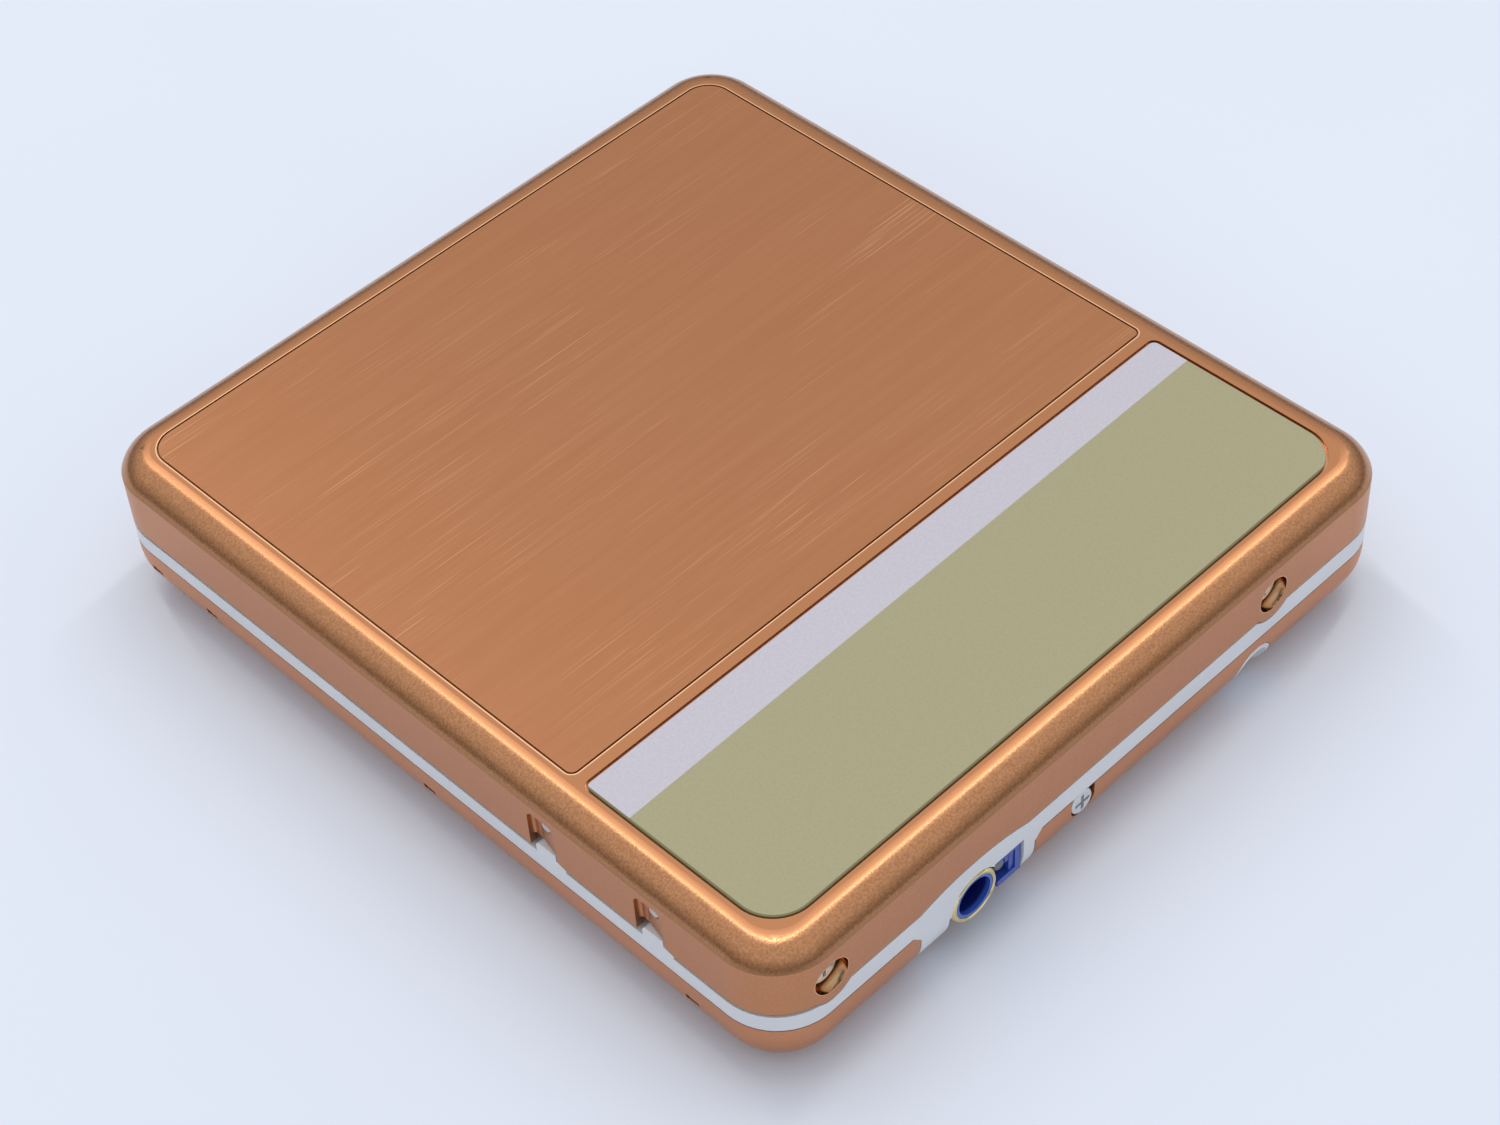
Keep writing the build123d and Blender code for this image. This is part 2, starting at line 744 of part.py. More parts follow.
def jack_ring():
    ring = rod_y(socket_ring_radius, half_depth - socket_ring_length, half_depth, socket_x, socket_z)
    ring = chamfer(ring.faces().sort_by(Axis.Y)[-1].edges(), socket_ring_bevel)
    return ring - rod_y(socket_ring_bore, 0, far, socket_x, socket_z)


def jack_body():
    """Blue socket moulding: a liner inside the ring, and the barrel behind it."""
    mouth_y = half_depth - 0.12
    barrel_front = half_depth - socket_barrel_setback
    liner = rod_y(socket_ring_bore - press_play, barrel_front - 0.5, mouth_y, socket_x, socket_z)
    neck_front = half_depth - socket_ring_length - press_play
    neck = rod_y(socket_ring_radius, barrel_front - 0.5, neck_front, socket_x, socket_z)
    barrel = span(socket_x - socket_barrel_half, socket_x + socket_barrel_half, half_depth - socket_depth,
                  barrel_front, board_high + slip, deck_low - slip)
    barrel = fillet(barrel.edges().filter_by(Axis.Y), 0.6)
    block_room = half_depth - remote_depth - 0.25 - slip
    barrel -= span(-far, socket_x - socket_bore_radius - 0.5, block_room, far, 0, far)
    return liner + neck + barrel - rod_y(socket_bore_radius, 0, far, socket_x, socket_z)


def remote_connector():
    """Blue contact block beside the socket: a rim on three sides of a deep slot, on a foot."""
    front = half_depth - 0.25
    back = front - remote_depth
    high_x = socket_x - socket_ring_radius - 0.2
    block = span(remote_low_x, high_x, back, front, remote_low, remote_top)
    block += span(remote_low_x, high_x, back, back + 1.2, board_high + slip, remote_low + 0.1)
    block -= rod_y(socket_ring_radius + 0.12, 0, far, socket_x, socket_z)
    return block - span(remote_low_x + remote_rim, far, front - remote_slot_depth, far,
                        remote_low + remote_rim, remote_top - remote_rim)


def remote_pin():
    """Round contact that stands in the slot on the socket's side."""
    front = half_depth - 0.35
    slot_back = half_depth - 0.25 - remote_slot_depth
    x = remote_high_x - 1.0
    z = remote_top - remote_rim - remote_pin_radius - 0.05
    pin = rod_y(remote_pin_radius, slot_back + press_play, front, x, z)
    return fillet(pin.faces().sort_by(Axis.Y)[-1].edges(), 0.2)


def key_cap(x):
    """One side key: a domed cap in its hole, with a flange and a plunger behind the wall."""
    cap = span(x - key_length / 2, x + key_length / 2, -half_depth + 0.05, flange_front_y + 0.1,
               key_z - key_height / 2, key_z + key_height / 2)
    cap = fillet(cap.edges().filter_by(Axis.Y), 0.5)
    cap = fillet(cap.faces().sort_by(Axis.Y)[0].edges(), 0.2)
    half = key_length / 2 + key_flange
    cap += span(x - half, x + half, flange_front_y, flange_front_y + 0.4,
                key_z - key_height / 2 - key_flange, cover_top - slip)
    return cap + span(x - 0.5, x + 0.5, flange_front_y + 0.3, flange_front_y + 0.7,
                      key_z - 0.5, key_z + 0.5)


def key_contacts():
    """Strip board behind the keys, with one dome under each plunger."""
    dome_y = flange_front_y + 0.7 + key_travel + 0.1
    places = key_places()
    strip = span(places[0] - key_pitch / 2, hold_x + 5.0, dome_y + 0.25, dome_y + 0.6,
                 4.0, ledge_low - slip)
    for x in places:
        strip += rod_y(1.1, dome_y, dome_y + 0.3, x, key_z)
    return strip


def hold_switch():
    """Knob that slides between two places in the key panel."""
    knob_front = -half_depth + 0.05
    knob = span(hold_x - hold_knob_length / 2, hold_x + hold_knob_length / 2, knob_front,
                -panel_floor_y - 0.05, key_z - 0.8, key_z + 0.8)
    knob = fillet(knob.edges().filter_by(Axis.Y), 0.4)
    for step in (-1, 0, 1):
        knob -= span(hold_x + step * 0.8 - 0.15, hold_x + step * 0.8 + 0.15, knob_front - 1,
                     knob_front + 0.12, key_z - 0.6, key_z + 0.6)
    stem = span(hold_x - 0.7, hold_x + 0.7, -panel_floor_y - 0.1, -panel_back_y + 0.4,
                key_z - 0.35, key_z + 0.35)
    return knob + stem


def open_slider():
    """Knob of the opening slider with its stem through the key panel."""
    knob_front = -half_depth + 0.05
    half = slider_knob_length / 2
    knob = span(slider_x - half, slider_x + half, knob_front, -panel_floor_y - 0.05,
                key_z - 0.85, key_z + 0.85)
    knob = fillet(knob.edges().filter_by(Axis.Y), 0.4)
    for step in range(-2, 3):
        knob -= span(slider_x + step - 0.18, slider_x + step + 0.18, knob_front - 1, knob_front + 0.15,
                     key_z - 0.6, key_z + 0.6)
    stem = span(slider_x - 1.6, slider_x + 0.1, -panel_floor_y - 0.1, latch_face_y,
                key_z - 0.45, key_z + 0.45)
    return knob + stem


def latch_plate():
    """Pressed plate behind the slider, with the nose that holds the lid's catch."""
    tail_x = slider_x - latch_tail
    nose_low_x = nose_high_x - nose_length
    plate = span(tail_x, nose_high_x, latch_face_y, latch_face_y + latch_sheet, 5.0, nose_low + nose_height)
    plate -= span(tail_x - 1, nose_low_x, latch_face_y - 1, latch_face_y + 1, nose_low - 0.9, far)
    return plate + span(nose_low_x, nose_high_x, latch_face_y - 0.9, latch_face_y + 0.1,
                        nose_low, nose_low + nose_height)


def lid_catch():
    """Hooked tab under the lid's rail that the nose of the latch holds down."""
    y_low, y_high = latch_face_y - 0.8, latch_face_y - 0.2
    lip_high = nose_low - 0.2
    tab = span(catch_low_x, catch_high_x, y_low, y_high, lip_high - 0.7, rail_low + 0.6)
    lip = span(nose_high_x + slip, catch_low_x + 0.1, y_low, y_high, lip_high - 0.7, lip_high)
    root = span(catch_low_x, catch_high_x, y_low, -rail_outer_y + 0.3, rail_low, rail_low + 0.6)
    return tab + lip + root


def lid_cover():
    """Drawn aluminium lid: shell, screw cups, front windows, engraved line and plate recess."""
    shell = lid_form(0, frame_top - 1) - lid_form(lid_wall, frame_top - 2)
    for side in (1, -1):
        for x in pocket_x:
            y_low, y_high = across(side, half_depth - pocket_depth - pocket_wall, half_depth - 0.3)
            shell += rod_y(pocket_radius + pocket_wall, y_low, y_high, x, pocket_z)
    shell = shell & lid_form(0, frame_top - 1)
    for side in (1, -1):
        shell -= below_parting_line(side, front_lid_gap, side_lid_gap, dip_radius)
        for x in pocket_x:
            y_low, y_high = across(side, half_depth - pocket_depth, far)
            shell -= rod_y(pocket_radius, y_low, y_high, x, pocket_z)
            y_low, y_high = across(side, half_depth - 4, far)
            shell -= rod_y(screw_shank_radius + shaft_play, y_low, y_high, x, pocket_z)
    trim_x = hinge_x + 0.1
    trim = make_face(Polyline((trim_x, side_lid_low), (-half_width - 0.01, side_lid_low + hinge_trim_rise),
                              (-half_width - 3, side_lid_low + hinge_trim_rise), (-half_width - 3, 0),
                              (trim_x, 0), close=True))
    shell -= along_y(trim, -far, far)
    for y in notch_y:
        shell -= notch_scoop(y)
        shell -= along_x(notch_outline(y, 0), half_width - 2 * lid_wall, far)
        shell -= rod_x(peg_radius + slip / 2, half_width - 2 * lid_wall, far, y + peg_shift, peg_z)
    top = Plane.XY.offset(body_height)
    shell -= extrude(top * nameplate_outline(0), -plate_recess)
    line = panel_outline(0) - panel_outline(groove_width)
    return shell - extrude(top * line, -groove_depth)


def nameplate():
    bottom = Plane.XY.offset(body_height - plate_recess)
    plate = extrude(bottom * nameplate_outline(plate_gap), plate_recess - plate_drop)
    return fillet(plate.faces().sort_by(Axis.Z)[-1].edges(), 0.08)


def lid_screws():
    """Four cross-head screws, two in the pockets of each side of the skirt."""
    screws = []
    seat_y = half_depth - pocket_depth
    for side in (1, -1):
        for x in pocket_x:
            head = Pos(x, side * seat_y, pocket_z) * Rot(-90 * side, 0, 0) * cross_head(
                screw_head_radius, screw_head_height)
            y_low, y_high = across(side, seat_y - 2.0, seat_y + 0.1)
            shank = rod_y(screw_shank_radius, y_low, y_high, x, pocket_z)
            screws.append(head + shank)
    return Compound(screws)


def lid_frame():
    """Moulded frame inside the lid: rails, bars, hinge knuckles, front pegs and the catch."""
    front_x = cartridge_front + air
    rear_x = hinge_x - 0.4
    first = pocket_x[0] + rail_pocket_margin
    rail_pocket_pitch = (pocket_x[1] - rail_pocket_margin + rail_rib - first) / rail_pocket_count
    rail_pocket_length = rail_pocket_pitch - rail_rib
    rail_pocket_starts = [first + number * rail_pocket_pitch for number in range(rail_pocket_count)]
    frame = None
    for side in (1, -1):
        y_low, y_high = across(side, rail_inner_y, rail_outer_y)
        rail = span(cartridge_rear, front_x + front_bar, y_low, y_high, rail_low, rail_top)
        pocket_y_low, pocket_y_high = across(side, rail_inner_y + rail_web, rail_outer_y + 1)
        for x in rail_pocket_starts:
            rail -= span(x, x + rail_pocket_length, pocket_y_low, pocket_y_high,
                         rail_low + 0.7, rail_top - 0.7)
        arm = make_face(Polyline((hinge_x - 0.9, hinge_z), (hinge_x - 0.4, rail_top),
                                 (cartridge_rear + 1, rail_top), (cartridge_rear + 1, rail_low),
                                 (hinge_x + 1.0, hinge_z - 0.6), close=True))
        knuckle_low, knuckle_high = across(side, rail_inner_y, rail_inner_y + knuckle_width)
        rail += along_y(arm, knuckle_low, knuckle_high)
        rail += rod_y(knuckle_radius, knuckle_low, knuckle_high, hinge_x, hinge_z)
        rail -= rod_y(pin_radius + shaft_play, knuckle_low - 1, knuckle_high + 1, hinge_x, hinge_z)
        for x in pocket_x:
            hole_low, hole_high = across(side, rail_inner_y + 0.4, rail_outer_y + 1)
            rail -= rod_y(screw_shank_radius + press_play, hole_low, hole_high, x, pocket_z)
        frame = rail if frame is None else frame + rail
    y = rail_inner_y + 0.5
    frame += span(front_x, front_x + front_bar, -y, y, rail_low + 0.9, rail_top)
    frame += span(rear_x, rear_x + 0.9, -y, y, rail_top - 1.8, rail_top)
    frame = frame & lid_form(lid_wall + slip, spigot_low)
    for y in notch_y:
        frame += rod_x(peg_radius, front_x + front_bar / 2, half_width - scoop_depth / 2,
                       y + peg_shift, peg_z)
    return frame + lid_catch()


def holder_ear():
    """Side outline of the holder's rear ear, down to the hinge line."""
    ear = make_face(Polyline((hinge_x - 0.6, hinge_z + 0.9), (cartridge_rear, holder_top - 0.4),
                             (cartridge_rear + 1.5, holder_top - 0.4), (cartridge_rear + 1.5, holder_low),
                             (hinge_x + 0.3, hinge_z - 1.0), close=True))
    return ear + Pos(hinge_x, hinge_z) * Circle(ear_radius)


def disc_holder():
    """Folded steel carrier that the cartridge slides into."""
    rear = cartridge_rear
    front = cartridge_front - slip
    width, height = 2 * holder_outer_y, holder_top - holder_low
    outline = Pos(0, holder_low + height / 2) * RectangleRounded(width, height, 0.5)
    inner_height = holder_roof - cartridge_low
    outline -= Pos(0, cartridge_low + inner_height / 2) * Rectangle(2 * holder_inner_y, inner_height)
    outline -= Pos(0, cartridge_low - 1) * Rectangle(2 * (holder_inner_y - holder_lip), 4)
    holder = along_x(outline, rear, front)
    window = Pos(disc_x, 0) * RectangleRounded(cartridge_length - 2 * holder_window_end,
                                               cartridge_width - 2 * holder_window_side,
                                               holder_window_radius)
    holder -= extrude(Plane.XY.offset(holder_roof - 0.1) * window, 2)
    for side in (1, -1):
        y = side * (holder_inner_y - spring_tongue_inset)
        tongue_high = disc_x + spring_tongue_length / 2
        tongue_low = disc_x - spring_tongue_length / 2
        z_low, z_high = holder_roof - 0.1, holder_top + 1
        half = spring_tongue_width / 2
        for edge in (-half - spring_slot, half):
            holder -= span(tongue_low, tongue_high, y + edge, y + edge + spring_slot, z_low, z_high)
        holder -= span(tongue_high - spring_slot, tongue_high, y - half, y + half, z_low, z_high)
        ear_low, ear_high = across(side, holder_inner_y, holder_outer_y)
        holder += along_y(holder_ear(), ear_low, ear_high)
        holder -= rod_y(pin_radius + shaft_play, ear_low - 1, ear_high + 1, hinge_x, hinge_z)
        stop_end = holder_inner_y - rear_stop_inset
        stop_low, stop_high = across(side, stop_end - rear_stop_width, stop_end)
        holder += span(rear - holder_sheet, rear, stop_low, stop_high, cartridge_low + 0.8, holder_top)
        holder += span(rear - holder_sheet, rear + 1, stop_low, stop_high, holder_roof, holder_top)
    mouth = span(front - holder_mouth_depth, far, holder_mouth_width / -2, holder_mouth_width / 2,
                 holder_roof - 0.1, far)
    return holder - fillet(mouth.edges().filter_by(Axis.Z), 2.0)


def hinge_pins():
    pins = []
    for side in (1, -1):
        y_low, y_high = across(side, boss_end_y - boss_length + 0.6, rail_inner_y + knuckle_width + 0.2)
        pins.append(rod_y(pin_radius, y_low, y_high, hinge_x, hinge_z))
    return Compound(pins)


def deck():
    """Pressed steel chassis under the cartridge, with folded tabs that carry the shafts."""
    x_low = cartridge_rear + 0.2
    x_high = ring_inner_x - slip
    y_high = ring_inner_y - slip
    plate = Pos((x_low + x_high) / 2, 0) * RectangleRounded(x_high - x_low, 2 * y_high, deck_corner_radius)
    sheet = extrude(Plane.XY.offset(deck_low) * plate, deck_sheet)
    sheet -= rod_z(turntable_radius + 1.2, 0, far, disc_x, 0)
    slot_low = pickup_start - slot_margin
    slot_high = pickup_start + pickup_travel + slot_margin
    slot = Pos(disc_x, (slot_low + slot_high) / 2) * RectangleRounded(slot_width, slot_high - slot_low, 2)
    sheet -= extrude(slot, far)
    window_spans_x = (x_low + deck_rim, screw_x - deck_rim), (guide_high_x + deck_rim, x_high - deck_rim)
    window_spans_y = (post_front_y + 3, -deck_window_gap / 2), (deck_window_gap / 2, slot_high - 14)
    for low_x, high_x in window_spans_x:
        for low_y, high_y in window_spans_y:
            window = RectangleRounded(high_x - low_x, high_y - low_y, deck_window_radius)
            sheet -= extrude(Pos((low_x + high_x) / 2, (low_y + high_y) / 2) * window, far)
    sheet -= latch_room()
    for x, y in post_places():
        sheet -= countersink(press_play, x, y)
    for y in (bracket_inner_y - bracket_sheet, bracket_outer_y):
        for x_low, x_high in ((screw_x - 1.6, guide_low_x + 1.5), (guide_high_x - 1.4, guide_high_x + 1.4)):
            sheet += span(x_low, x_high, y, y + bracket_sheet, guide_z - 1.2, deck_low + 0.1)
        for x in (guide_low_x, guide_high_x):
            sheet -= rod_y(guide_radius + press_play, y - 1, y + 1, x, guide_z)
    y = bracket_inner_y
    sheet -= rod_y(screw_journal + shaft_play, y - 1, y + 1, screw_x, guide_z)
    return sheet


def countersink(grow, x, y):
    low, high = deck_screw_radius + grow, deck_screw_head + grow
    return Pos(x, y, deck_low + deck_sheet / 2) * Cone(low, high, deck_sheet)


def deck_screws():
    """Flat-headed screws, flush with the top of the deck."""
    screws = []
    for x, y in post_places():
        shank = rod_z(deck_screw_radius, deck_low - deck_screw_reach, deck_low + 0.1, x, y)
        screw = shank + countersink(0, x, y)
        for angle in (0, 90):
            screw -= Pos(x, y, deck_top) * Rot(0, 0, angle) * Box(1.1, 0.25, 0.4)
        screws.append(screw)
    return Compound(screws)


def locating_pins():
    """Two pins on the deck that enter the holes under the cartridge."""
    pins = []
    for x in (-locating_pin_x, locating_pin_x):
        pin = rod_z(locating_pin_radius, deck_top, spindle_top, disc_x + x, -locating_pin_y)
        pins.append(fillet(pin.faces().sort_by(Axis.Z)[-1].edges(), 0.4))
    return Compound(pins)


def spindle_motor():
    """Flat motor under the deck."""
    motor = rod_z(stator_radius, stator_low, deck_low - slip / 2, disc_x, 0)
    motor = fillet(motor.faces().sort_by(Axis.Z)[0].edges(), 0.8)
    return motor - rod_z(spindle_radius + shaft_play, 0, far, disc_x, 0)


def turntable():
    """Turntable disc with its centring cone and shaft."""
    wheel = rod_z(turntable_radius, turntable_low, turntable_low + turntable_sheet, disc_x, 0)
    cone = Pos(disc_x, 0, (turntable_low + spindle_top) / 2) * Cone(2.9, 1.9, spindle_top - turntable_low)
    magnet = rod_z(3.9, turntable_low, turntable_low + 0.7, disc_x, 0)
    shaft = rod_z(spindle_radius, stator_low + 0.3, turntable_low + 0.2, disc_x, 0)
    return wheel + cone + magnet + shaft


def pickup():
    """Sled of the optical pickup with its two bearings, lens mount and screw follower."""
    x_low, x_high = disc_x - pickup_low_side, disc_x + pickup_high_side
    y_low, y_high = pickup_start - pickup_length / 2, pickup_start + pickup_length / 2
    body = span(x_low, x_high, y_low, y_high, pickup_low, pickup_high)
    body = chamfer(body.edges().filter_by(Axis.Y), 0.7)
    half = lens_mount_width / 2
    mount = span(disc_x - half, disc_x + half, pickup_start - half, pickup_start + half, pickup_high - 0.1,
                 lens_top - 0.5)
    body += fillet(mount.edges().filter_by(Axis.Z), 1.0)
    body -= rod_z(lens_radius + 0.05, 6, far, disc_x, pickup_start)
    body -= rod_y(guide_radius + shaft_play, 0, far, guide_low_x, guide_z)
    body -= span(guide_high_x - 0.9, far, 0, far, guide_z - guide_radius - shaft_play,
                 guide_z + guide_radius + shaft_play)
    arm = span(screw_x + screw_radius + 0.12, x_low + 0.2, nut_y - 0.9, nut_y + 0.9,
               guide_z - 1.0, guide_z + 1.0)
    return body + arm


def lens():
    """Glass objective lens, domed on top."""
    rim_z = lens_top - 0.6
    drum = rod_z(lens_radius, 6.2, rim_z, disc_x, pickup_start)
    dome = Pos(disc_x, pickup_start, rim_z - 2.9) * Sphere(3.5)
    dome = dome & rod_z(lens_radius, rim_z - 0.1, lens_top, disc_x, pickup_start)
    return drum + dome


def guide_shafts():
    y_low = bracket_inner_y - bracket_sheet - 0.2
    y_high = bracket_outer_y + bracket_sheet + 0.2
    return Compound([rod_y(guide_radius, y_low, y_high, x, guide_z) for x in (guide_low_x, guide_high_x)])


def lead_screw():
    y_low = bracket_inner_y + shaft_play
    body = rod_y(screw_radius, y_low, motor_low_y - 0.1, screw_x, guide_z)
    return body + rod_y(screw_journal, y_low - bracket_sheet, motor_low_y + 1.2, screw_x, guide_z)


def sled_motor():
    motor = rod_y(sled_motor_radius, motor_low_y, bracket_outer_y - 0.05, screw_x, guide_z)
    motor = chamfer(motor.faces().sort_by(Axis.Y)[0].edges(), 0.3)
    return motor - rod_y(screw_journal + shaft_play, 0, motor_low_y + 1.4, screw_x, guide_z)


def main_board():
    """Circuit board over the floor of the tray, notched round the posts."""
    x_edge = half_width - cover_wall - board_edge
    y_high = half_depth - cover_wall - board_edge
    outline = Pos(0, (board_low_y + y_high) / 2) * RectangleRounded(2 * x_edge, y_high - board_low_y,
                                                                    board_corner_radius)
    board = extrude(Plane.XY.offset(board_low) * outline, board_thickness)
    for x, y in post_places():
        board -= rod_z(post_radius + slip, 0, far, x, y)
    return board


def chips():
    """Packages on top of the board, clear of the motors and the sled."""
    packages = []
    for from_disc, y, width, length in chip_places:
        x = disc_x + from_disc
        packages.append(span(x - width / 2, x + width / 2, y - length / 2, y + length / 2,
                             board_high, board_high + chip_height))
    return Compound(packages)


def motor_cable():
    """Flat cable from the underside of the disc motor down to the board."""
    y_motor = 1.5 - stator_radius
    y_end = board_low_y + 1.0
    z_top = stator_low - 0.05
    z_board = board_high + 0.03
    path = make_face(Polyline((y_motor, z_top), (y_motor - 2.5, z_top),
                              (y_motor - 4.0, z_board + cable_sheet),
                              (y_end, z_board + cable_sheet), (y_end, z_board),
                              (y_motor - 4.1, z_board), (y_motor - 2.6, z_top - cable_sheet),
                              (y_motor, z_top - cable_sheet), close=True))
    return along_x(path, disc_x - cable_width / 2, disc_x + cable_width / 2)


parts = {
    "bottom_cover": bottom_cover(),
    "mid_frame": mid_frame(),
    "base_screws": base_screws(),
    "side_screw": side_screw(),
    "strap_eyelet": strap_eyelet(),
    "jack_ring": jack_ring(),
    "jack_body": jack_body(),
    "remote_connector": remote_connector(),
    "remote_pin": remote_pin(),
    "main_board": main_board(),
    "chips": chips(),
    "motor_cable": motor_cable(),
    "key_contacts": key_contacts(),
    "battery": battery(),
    "battery_contact": battery_contact(),
    "door_pin": door_pin(),
    "hinge_pins": hinge_pins(),
    "deck": deck(),
    "deck_screws": deck_screws(),
    "locating_pins": locating_pins(),
    "spindle_motor": spindle_motor(),
    "sled_motor": sled_motor(),
    "guide_shafts": guide_shafts(),
    "lead_screw": lead_screw(),
    "pickup": pickup(),
    "lens": lens(),
    "turntable": turntable(),
    "disc_holder": disc_holder(),
    "lid_cover": lid_cover(),
    "nameplate": nameplate(),
    "lid_frame": lid_frame(),
    "lid_screws": lid_screws(),
    "open_slider": open_slider(),
    "latch_plate": latch_plate(),
    "hold_switch": hold_switch(),
    "battery_door": battery_door(),
    "door_contact": door_contact(),
}
for key_name, key_x in zip(key_names, key_places()):
    parts["key_" + key_name] = key_cap(key_x)

os.makedirs("parts", exist_ok=True)
for name, solid in parts.items():
    export_step(solid, "parts/" + name + ".step")
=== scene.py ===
import math
import bmesh
import bpy
from mathutils import Matrix, Vector


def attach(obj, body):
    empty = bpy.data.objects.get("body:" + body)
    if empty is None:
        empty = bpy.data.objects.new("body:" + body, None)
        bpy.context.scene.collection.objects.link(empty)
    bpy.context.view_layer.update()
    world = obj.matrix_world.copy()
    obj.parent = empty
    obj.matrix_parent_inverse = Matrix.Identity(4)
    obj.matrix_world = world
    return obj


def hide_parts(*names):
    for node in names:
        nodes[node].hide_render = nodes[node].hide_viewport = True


# Portable minidisc player: finishes for the CAD nodes, and the small pieces made here.
# Lengths are in millimetres, and mm() turns them into metres; lamps and camera are in metres.

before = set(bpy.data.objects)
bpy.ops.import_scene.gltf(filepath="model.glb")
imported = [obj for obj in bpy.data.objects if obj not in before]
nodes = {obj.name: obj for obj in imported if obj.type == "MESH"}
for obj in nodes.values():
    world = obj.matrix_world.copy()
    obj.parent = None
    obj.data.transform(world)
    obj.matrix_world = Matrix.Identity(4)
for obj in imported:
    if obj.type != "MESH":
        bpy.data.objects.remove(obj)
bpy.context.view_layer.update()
print("stage: frame loaded,", len(nodes), "nodes")


def mm(value):
    return value * 0.001


def hexToLinear(code):
    # sRGB hex value to linear red, green, blue and full alpha
    parts = [int(code[i:i + 2], 16) / 255 for i in (1, 3, 5)]
    linear = [c / 12.92 if c <= 0.04045 else ((c + 0.055) / 1.055) ** 2.4 for c in parts]
    return (*linear, 1.0)


def addNode(tree, kind, inputs=None, **settings):
    # One shader node with its settings; an input given as a node or a socket is linked.
    # The two colours of a Mix node are its inputs 6 and 7.
    node = tree.nodes.new("ShaderNode" + kind)
    for name, value in settings.items():
        setattr(node, name, value)
    for key, value in (inputs or {}).items():
        if isinstance(value, bpy.types.Node):
            value = next(output for output in value.outputs if output.enabled)
        if isinstance(value, bpy.types.NodeSocket):
            tree.links.new(value, node.inputs[key])
        else:
            node.inputs[key].default_value = value
    return node


def startMaterial(name):
    material = bpy.data.materials.new(name)
    material.use_nodes = True
    material.node_tree.nodes.clear()
    return material, material.node_tree


def endMaterial(tree, inputs):
    shader = addNode(tree, "BsdfPrincipled", inputs)
    addNode(tree, "OutputMaterial", {"Surface": shader})


# The lid: places and heights are those of the CAD. Grain sizes are the real ones, drawn a little
# coarser so that they still show.
lidLook = {
    "fieldHalf": 33.9, "fieldLow": -37.95, "fieldHigh": 15.95, "lowCorner": 2.6, "highCorner": 0.8,
    "cornerChange": 1.0, "fieldBlur": 0.04, "topHeight": 15.3, "topStart": 0.10, "topEnd": 0.02,
    "flatHalfX": 34.2, "flatHalfY": 38.2, "recessStart": 16.6, "lipMiddle": 0.07, "lipHalf": 0.055,
    "creaseHeight": 13.37, "creaseBlur": 0.03, "creaseShadeReach": 0.55,
    "pocketFront": 31.35, "pocketRear": -20.8, "pocketHeight": 10.6, "pocketRadius": 1.75,
    "fieldColor": "#B67E5A", "fieldShade": "#B17955", "hairline": "#CC9872", "flatColor": "#B8805A",
    "edgeColor": "#C9926A", "edgeShade": "#B07C57", "creaseShadeColor": "#AC7B56", "skirtColor": "#CA8C64",
    "skirtShade": "#C3855D", "pocketColor": "#EEC192", "lipHighlightColor": "#F2C198", "grooveShadeColor": "#7A553A",
    "recessLightColor": "#D8A17B", "topRough": 0.345, "edgeRough": 0.24, "skirtRough": 0.36, "pocketRough": 0.13,
    "brushWidth": 0.14, "brushLength": 22.0, "bandWidening": 0.2, "hairShortening": 2.2,
    "groupsPerMetre": (45, 160, 45), "brushDepth": 0.004, "beadSize": 0.20, "beadDepth": 0.012,
}


